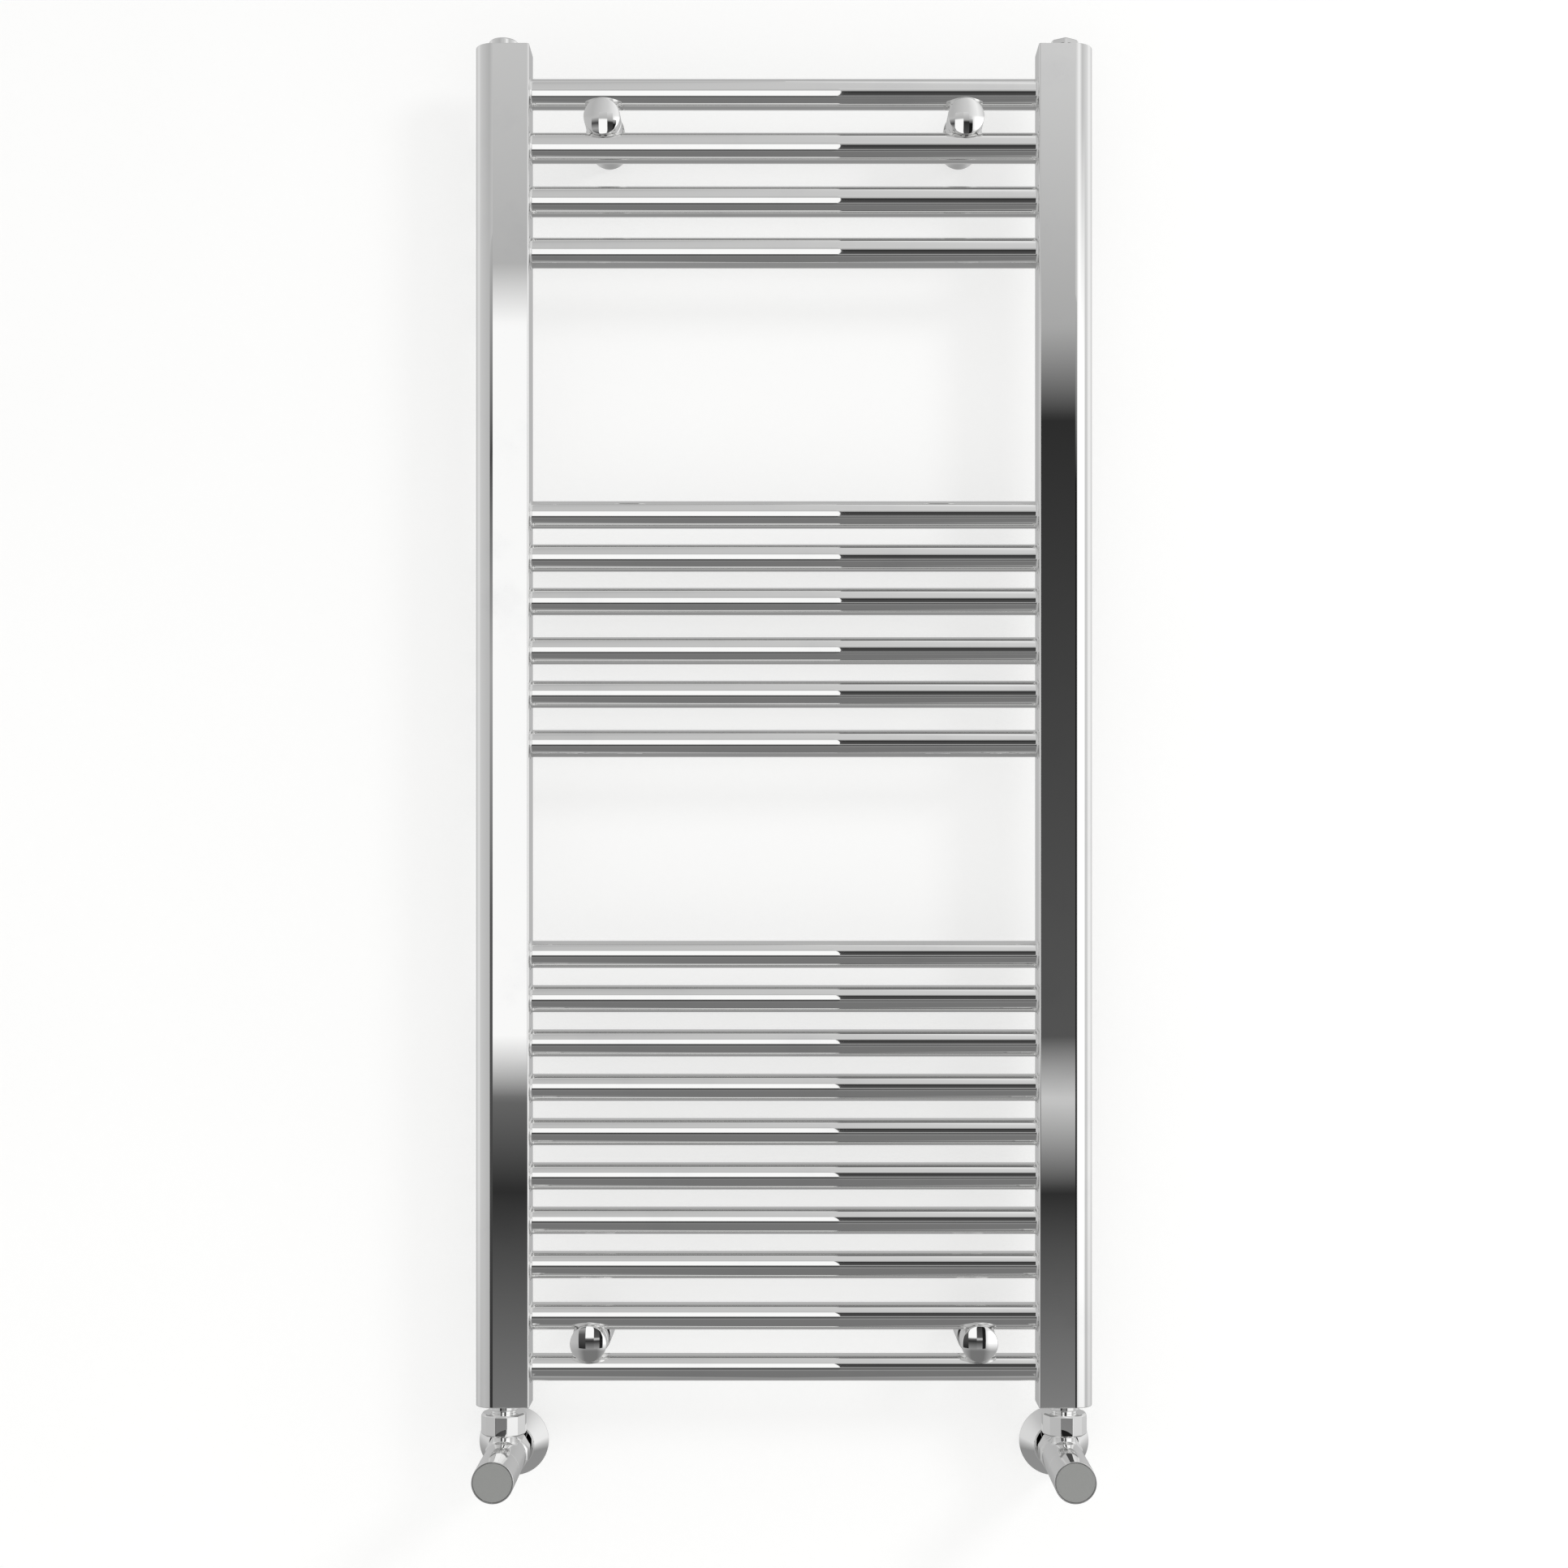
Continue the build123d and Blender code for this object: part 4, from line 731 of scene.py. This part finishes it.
def barrel_shell(low, high, side):
    """The turned barrel: its front face, side, chamfered back and thread, then the bores from back to
    front."""
    front, end, radius = low[1], high[1], BARREL_RADIUS
    corners = np.array([[front, 12 * MM], [front, radius], [end - 13.5 * MM, radius],
                        [end - 12 * MM, radius - 1.5 * MM], [end - 12 * MM, 12 * MM],
                        [end, 12 * MM], [end, 9.2 * MM], [end - 4 * MM, 7.5 * MM],
                        [end - 7 * MM, 7.5 * MM], [end - 7 * MM, 6.5 * MM], [end - 20 * MM, 6.5 * MM],
                        [end - 20 * MM, 11 * MM], [end - 42 * MM, 11 * MM], [end - 42 * MM, 12 * MM]])
    rounding = np.array([0.1, 0.3, 0.4, 0.4, 0.1, 0.3, 0.1, 0.1, 0.1, 0.1, 0.1, 0.1, 0.1, 0.1]) * MM
    return turned(propped(eased(corners, rounding)), (side * PORT_X, 0, VALVE_Z), columns=128)


for side_name, side in SIDES:
    body_node = side_name + "_valve_body"
    shells = [(barrel_shell(*span(body_node), side), True), (neck_shell(side), True)]
    chromed_piece(side_name + "_forged_valve_body", shells, body_node)
print("valve bodies")

# %% [markdown]
# The tail is the tube that screws up into the collector. Only its collar and a little of its shank show.
# The gland closes the barrel in front and shows only with the lockshield cap pulled off. Both are lathe
# work.

# %% Tails and glands
def upright_ring(corners, rounding, side):
    """A turned ring round the port's upright axis, from (height above the collector's foot, radius) in mm."""
    profile = np.array(corners) * MM + [BASE_Z, 0]
    return turned(propped(eased(profile, np.array(rounding) * MM)), (side * PORT_X, RAIL_Y, 0), "z")


tail = [[-13, 7], [-13, 12.6], [-9.5, 12.6], [-9.5, 10], [-3.4, 10], [-3.4, 12.2], [0, 12.2], [0, 11.9],
        [-1.9, 11.9], [-1.9, 10], [11.2, 10], [12, 9.2], [12, 7]]
tail_rounding = [0.1, 0.2, 0.2, 0.1, 0.3, 0.35, 0.05, 0.05, 0.1, 0.1, 0.2, 0.2, 0.1]
tails = [(upright_ring(tail, tail_rounding, side), True) for _, side in SIDES]
chromed_piece("screwed_valve_tails", tails, "valve_tails", 30)


def level_ring(corners, rounding, side):
    """A turned ring round the valve's level axis, from (y, radius) in mm."""
    profile = np.array(corners) * MM
    return turned(propped(eased(profile, np.array(rounding) * MM)), (side * PORT_X, 0, VALVE_Z))


gland = [[-82, 6.2], [-82, 12], [-101.2, 12], [-101.2, 8], [-111.4, 8], [-112, 7.4], [-112, 4.05],
         [-94, 4.05], [-94, 5.9], [-92, 5.9], [-92, 4.05], [-85.2, 4.05], [-85.2, 6.2]]
glands = [(level_ring(gland, [0.1, 0.1, 0.1, 0.4, 0.1, 0.2, 0.2, 0.1, 0.1, 0.1, 0.1, 0.1, 0.1], side), True)
          for _, side in SIDES]
make_piece("turned_valve_glands", glands, machined_brass, "radiator", ["valve_glands"], 30)
print("tails and glands")

# %% Spindles
spokes, square = shape_of(polygon(4, 6 * MM, 0.3 * MM))
spindle_rows = np.array([[-67, 0, 0], [-67, 2.7, 0], [-67.3, 3, 0], [-82.6, 3, 0], [-82.6, 6, 0], [-85, 6, 0],
                         [-85, 4, 0], [-113, 4, 0], [-113, 0, 1], [-121.5, 0, 1], [-122, 0, 0.84],
                         [-122, 2, 0], [-112, 2, 0], [-112, 0, 0]])
spindle_reach = spindle_rows[:, 1:2] * MM + spindle_rows[:, 2:] * square
for side_name, side in SIDES:
    spindle_node = side_name + "_spindle"
    spindle_body = "left_head" if side < 0 else "right_spindle"
    shell = swept(spindle_rows[:, 0] * MM, spindle_reach, spokes, (side * PORT_X, 0, VALVE_Z))
    make_piece(side_name + "_squared_spindle", [(shell, False)], machined_brass, spindle_body, [spindle_node],
               25)
print("spindles")

# %% [markdown]
# ## Heads
# Both heads are shells of the same outline with a grey disc let into the front. The left one is turned by
# hand, so a hub with a square socket stands in it, and the right one is only pulled off, so it has a
# sleeve.

# %% Heads and discs
HEAD_LOW, HEAD_HIGH = span("right_lockshield_cap")
HEAD_RADIUS = (HEAD_HIGH[0] - HEAD_LOW[0]) / 2
DISC_LOW, DISC_HIGH = span("right_head_disc")
DISC_RADIUS = (DISC_HIGH[0] - DISC_LOW[0]) / 2
front, back = HEAD_LOW[1], HEAD_HIGH[1]
floor = DISC_HIGH[1]
recess_radius = DISC_RADIUS + 0.3 * MM
outside = eased([[floor, DISC_RADIUS - 2 * MM], [floor, recess_radius], [front, recess_radius],
                 [front, HEAD_RADIUS], [back, HEAD_RADIUS], [back, 14.4 * MM], [back - 3 * MM, 14.4 * MM]],
                np.array([0, 0.05, 0.12, 0.7, 0.3, 0.3, 0]) * MM, closed=False, steps=7)
outside = propped(outside, closed=False)

fine = round_spokes(144)
cavity = np.array([[-132, 14.4], [-132, 10.2], [-103, 10.2], [-103, 8.3], [-132, 8.3], [-132, 0]]) * MM
sleeve_side = np.concatenate([outside, cavity])
shell = swept(np.r_[floor, sleeve_side[:, 0]], np.r_[0, sleeve_side[:, 1]], fine, (PORT_X, 0, VALVE_Z))
chromed_piece("lockshield_cap_shell", [(shell, False)], "right_lockshield_cap", 30, "right_cap")

hub = np.array([[-128, 14.4], [-128, 7], [-113.4, 7], [-113.4, 4.4], [-122.6, 4.4], [-122.6, 2.2],
                [-132, 2.2], [-132, 4.2]]) * MM
hub_side = np.concatenate([outside, hub, [[floor, 4.2 * MM]]])
square_reach = 3.05 * MM / np.maximum(np.abs(fine[:, 0]), np.abs(fine[:, 1]))
reach = np.tile(hub_side[:, 1:], (1, len(fine)))
reach[len(outside) + 3:len(outside) + 5] = square_reach
shell = swept(hub_side[:, 0], reach, fine, (-PORT_X, 0, VALVE_Z))
chromed_piece("wheelhead_shell", [(shell, True)], "left_wheelhead", 30, "left_head")

disc_corners = [[DISC_LOW[1], 0], [DISC_LOW[1], DISC_RADIUS], [DISC_HIGH[1], DISC_RADIUS], [DISC_HIGH[1], 0]]
disc_profile = propped(eased(disc_corners, np.array([0, 0.25, 0.05, 0]) * MM, closed=False), closed=False)
for side_name, side in SIDES:
    disc_node = side_name + "_head_disc"
    shell = turned(disc_profile, (side * PORT_X, 0, VALVE_Z), columns=128)
    disc_body = "left_head" if side < 0 else "right_cap"
    disc_name = side_name + "_satin_disc"
    make_piece(disc_name, [(shell, False)], disc_grey, disc_body, [disc_node], 30)
print("heads and discs")

# %% [markdown]
# ## Pipes and rosettes
# The pipe is plain tube with a shallow ring where it enters the wall. The rosette is pressed from sheet: a
# straight cone with a short straight rim, whose folded edge is the bright line round it.

# %% Pipes and rosettes
pipe = [[-47, 6.5], [-47, 7.5], [1, 7.5], [1.5, 7.1], [2.5, 7.1], [3, 7.5], [28, 7.5], [28, 6.5]]
rosette_low, rosette_high = span("right_rosette")
rim = (rosette_high[0] - rosette_low[0]) / 2 / MM
rosette = [[0, rim - 1.2], [0, rim], [-1.2, rim], [-21.2, 19.5], [-22, 18.7], [-22, 7.8], [-20.8, 7.8],
           [-20.8, 18.3], [-1.2, rim - 1.2]]
for side_name, side in SIDES:
    shell = level_ring(pipe, [0.1, 0.2, 0.1, 0.1, 0.1, 0.1, 0.1, 0.1], side)
    chromed_piece(side_name + "_pipe_stub", [(shell, True)], side_name + "_pipe", 30)
    shell = level_ring(rosette, [0.2, 0.2, 0.5, 0.5, 0.5, 0.2, 0.2, 0.4, 0.4], side)
    rosette_name = side_name + "_rosette"
    chromed_piece(side_name + "_wall_rosette", [(shell, True)], rosette_name, 30, rosette_name)
print("pipes and rosettes")

# %% [markdown]
# ## The pieces left as they are
# What stays hidden, such as the bolts, the shut-offs and the seals, keeps its CAD mesh and gets its finish.

# %% Finishes for the rest
FINISH_OF_SLOT = {"chromed_tube": tube_chrome, "chromed_fitting": fitting_chrome, "grey_disc": disc_grey,
                  "bare_brass": machined_brass, "seal_rubber": seal_rubber, "screw_steel": zinc_steel}
for part in frame["record"]["subparts"]:
    for material_slot in frame["nodes"][part["node"]].material_slots:
        material_slot.material = FINISH_OF_SLOT[part["material_slot"]]

# %% [markdown]
# ## The room as chrome sees it
# Chrome has no look of its own; it shows the room. The studio is therefore part of the finish: a pale
# ceiling above, a grey floor below, and light walls. The world draws these by direction, from the bearing
# to the left or right and the elevation. Only mirror rays see them. Matt surfaces get one even light, so
# the wall stays plain.

# %% Studio world
def ramp(tree, value, stops, low, high):
    """The colour of a ramp of (value, grey) stops between low and high, read at the value, a socket."""
    part = node(tree, "ShaderNodeMapRange")
    part.inputs["From Min"].default_value = low
    part.inputs["From Max"].default_value = high
    made = node(tree, "ShaderNodeValToRGB")
    elements = made.color_ramp.elements
    while len(elements) < len(stops):
        elements.new(0.5)
    for element, (place, grey) in zip(elements, stops):
        element.position = (place - low) / (high - low)
        element.color = (grey, grey, grey, 1)
    tree.links.new(value, part.inputs["Value"])
    tree.links.new(part.outputs["Result"], made.inputs["Fac"])
    return made.outputs["Color"]


def blend(tree, factor, first, second):
    """Mixes two colours by a factor, all three given as sockets."""
    made = node(tree, "ShaderNodeMix", data_type="RGBA")
    tree.links.new(factor, made.inputs["Factor"])
    tree.links.new(first, made.inputs[6])
    tree.links.new(second, made.inputs[7])
    return made.outputs[2]


world = bpy.data.worlds.new("studio")
world.use_nodes = True
bpy.context.scene.world = world
tree = world.node_tree
tree.nodes.clear()
link = tree.links.new
place = node(tree, "ShaderNodeTexCoord")
split = node(tree, "ShaderNodeSeparateXYZ")
link(place.outputs["Generated"], split.inputs["Vector"])
toward = node(tree, "ShaderNodeMath", operation="MULTIPLY")
toward.inputs[1].default_value = -1.0
link(split.outputs["Y"], toward.inputs[0])
bearing = node(tree, "ShaderNodeMath", operation="ARCTAN2")
link(split.outputs["X"], bearing.inputs[0])
link(toward.outputs["Value"], bearing.inputs[1])
degrees = node(tree, "ShaderNodeMath", operation="DEGREES")
link(bearing.outputs["Value"], degrees.inputs[0])

# Brightness at each bearing in degrees, left to right, and for the wall's side of the room at each X.
WALLS = [(-90, 0.65), (-30, 0.55), (14, 0.6), (25, 1.3), (60, 1.3), (75, 0.6), (90, 0.8)]
FLOOR = [(-90, 0.3), (-60, 0.5), (-30, 0.4), (-15, 0.2), (15, 0.2), (30, 0.4), (60, 0.5), (90, 0.3)]
CEILING = [(-90, 0.65), (-25, 0.5), (10, 0.7), (30, 1.0), (50, 0.6), (90, 0.8)]
ACROSS = [(-1.0, 0.85), (-0.6, 0.6), (-0.2, 0.5), (0.2, 0.5), (0.5, 0.65), (1.0, 1.05)]
turned_to = degrees.outputs["Value"]
walls, floor, ceiling = (ramp(tree, turned_to, stops, -90, 90) for stops in (WALLS, FLOOR, CEILING))
above = ramp(tree, split.outputs["Z"], [(-0.6, 0.0), (0.24, 0.0), (0.34, 1.0)], -1, 1)
below = ramp(tree, split.outputs["Z"], [(-1.0, 1.0), (-0.42, 1.0), (-0.12, 0.0)], -1, 1)
behind = ramp(tree, split.outputs["Y"], [(-1.0, 0.0), (0.0, 0.0), (0.25, 1.0)], -1, 1)
across = ramp(tree, split.outputs["X"], ACROSS, -1, 1)
room = blend(tree, above, walls, ceiling)
room = blend(tree, behind, room, across)
room = blend(tree, below, room, floor)
even = node(tree, "ShaderNodeRGB")
even.outputs[0].default_value = (0.55, 0.55, 0.548, 1)
rays = node(tree, "ShaderNodeLightPath")
seen = blend(tree, rays.outputs["Is Glossy Ray"], even.outputs[0], room)
background = node(tree, "ShaderNodeBackground")
output = node(tree, "ShaderNodeOutputWorld")
link(seen, background.inputs["Color"])
link(background.outputs["Background"], output.inputs["Surface"])
print("studio world")

# %% [markdown]
# The screens stand as near as the camera, so they can't be part of the world: each rail sees them at its
# own angle. A white screen stands left of the middle and a dark one right of it, both fading into a grey
# floor and a grey ceiling. A black post closes each side. Only mirror rays see them, and they cast no light
# on the wall.

# %% Screens
EYE_Y, EYE_Z = -1.837, BASE_Z + 0.399
SCREEN_Y = COLLECTOR_LOW[1] - 1.766


def flat_plane(name, corners):
    """One four-cornered face with a material of its own; returns the object, the node tree and the shader."""
    mesh = bpy.data.meshes.new(name)
    mesh.from_pydata(corners, [], [(0, 1, 2, 3)])
    plane = bpy.data.objects.new(name, mesh)
    bpy.context.scene.collection.objects.link(plane)
    material, tree, shader = new_material(name)
    mesh.materials.append(material)
    return plane, tree, shader


def screen(name, x_from, x_to, z_to, stops):
    """An upright glowing plane. Its stops say how bright it is at heights above or below the eye, in metres,
    and the first of them is its foot."""
    low, high = EYE_Z + stops[0][0], EYE_Z + z_to
    plane, tree, _ = flat_plane(name, [(x_from, SCREEN_Y, low), (x_from, SCREEN_Y, high),
                                       (x_to, SCREEN_Y, high), (x_to, SCREEN_Y, low)])
    tree.nodes.clear()
    glow = node(tree, "ShaderNodeEmission")
    place = node(tree, "ShaderNodeTexCoord")
    split = node(tree, "ShaderNodeSeparateXYZ")
    output = node(tree, "ShaderNodeOutputMaterial")
    tree.links.new(place.outputs["Object"], split.inputs["Vector"])
    heights = [(EYE_Z + height, grey) for height, grey in stops]
    tree.links.new(ramp(tree, split.outputs["Z"], heights, low, high), glow.inputs["Color"])
    tree.links.new(glow.outputs["Emission"], output.inputs["Surface"])
    plane.visible_camera = False
    plane.visible_diffuse = False
    plane.visible_shadow = False


WHITE_SIDE = [(-1.0, 0.3), (-0.45, 0.03), (-0.3, 0.15), (-0.2, 1.1), (0.95, 1.1), (1.05, 0.5), (1.5, 0.65)]
DARK_SIDE = [(-1.0, 0.35), (-0.45, 0.03), (-0.3, 0.65), (-0.2, 0.1), (0.8, 0.03), (0.95, 0.45), (1.5, 0.75)]
screen("white_screen", -0.48, 0.09, 1.5, WHITE_SIDE)
screen("dark_screen", 0.09, 0.48, 1.5, DARK_SIDE)
screen("left_post", -1.0, -0.48, 1.1, [(-1.0, 0.02), (0.0, 0.1), (0.4, 0.4), (0.75, 0.06), (1.1, 0.5)])
screen("right_post", 0.48, 0.72, 1.0, [(-1.0, 0.02), (0.7, 0.01), (1.0, 0.5)])
print("screens")

# %% [markdown]
# ## Wall, floor and key light
# The wall is white plaster and the floor is pale. Both are one-sided, so that the back of the radiator can
# be seen through the wall and its underside through the floor. Both also glow a little themselves. This is
# painted light: it fills in the shade that the closely spaced rails would cast on the wall. One large soft
# lamp stands on the right.

# %% Stage
def stage_plane(name, corners, colour, second, scale, glow):
    """A plane with a plain, faintly uneven surface that is clear from behind."""
    plane, tree, shader = flat_plane(name, corners)
    shader.inputs["Roughness"].default_value = 0.9
    shader.inputs["Specular IOR Level"].default_value = 0.0
    shader.inputs["Emission Color"].default_value = (1, 1, 0.995, 1)
    # The emission is painted light: a glow that lifts the plane so that shade hardly darkens it.
    shader.inputs["Emission Strength"].default_value = glow
    mottle(tree, shader, colour, second, scale, 3.0)
    clear = node(tree, "ShaderNodeBsdfTransparent")
    facing = node(tree, "ShaderNodeNewGeometry")
    choose = node(tree, "ShaderNodeMixShader")
    tree.links.new(facing.outputs["Backfacing"], choose.inputs["Fac"])
    tree.links.new(shader.outputs["BSDF"], choose.inputs[1])
    tree.links.new(clear.outputs["BSDF"], choose.inputs[2])
    tree.links.new(choose.outputs["Shader"], tree.nodes["Material Output"].inputs["Surface"])
    plane.visible_glossy = False


FLOOR_Z = BASE_Z - 170 * MM
WALL_Y = 0.2 * MM
# The last number is each plane's painted glow: 0.6 for the wall and 0.4 for the floor.
stage_plane("plaster_wall", [(-4, WALL_Y, FLOOR_Z), (4, WALL_Y, FLOOR_Z), (4, WALL_Y, 3), (-4, WALL_Y, 3)],
            (0.5, 0.5, 0.497), (0.53, 0.53, 0.527), 3.0, 0.6)
stage_plane("pale_floor", [(-4, -5, FLOOR_Z), (4, -5, FLOOR_Z), (4, WALL_Y, FLOOR_Z), (-4, WALL_Y, FLOOR_Z)],
            (0.6, 0.6, 0.597), (0.63, 0.63, 0.627), 4.0, 0.4)

lamp = bpy.data.lights.new("soft_key", "AREA")
lamp.shape = "DISK"
lamp.size = 0.9
lamp.energy = 20.0
key = bpy.data.objects.new("soft_key", lamp)
bpy.context.scene.collection.objects.link(key)
key.location = (2.2, -2.4, 0.9)
key.rotation_euler = (math.radians(60), 0, math.radians(42))
key.visible_glossy = False
key.visible_camera = False
print("stage")

# %% [markdown]
# ## Camera
# The camera stands level in front of the radiator, a little above its middle, and looks straight at the
# wall, so that the uprights stay upright. The picture is shifted rather than the camera tilted.

# %% Camera
eye = bpy.data.cameras.new("front_view")
eye.lens = 50.0
eye.sensor_width = 36.0
eye.shift_y = 0.0823
camera = bpy.data.objects.new("front_view", eye)
bpy.context.scene.collection.objects.link(camera)
camera.location = (0.0, EYE_Y, EYE_Z)
camera.rotation_euler = (math.radians(90), 0, 0)
bpy.context.scene.camera = camera
bpy.context.scene.view_settings.view_transform = "Standard"
print("camera", tuple(round(value, 3) for value in camera.location))
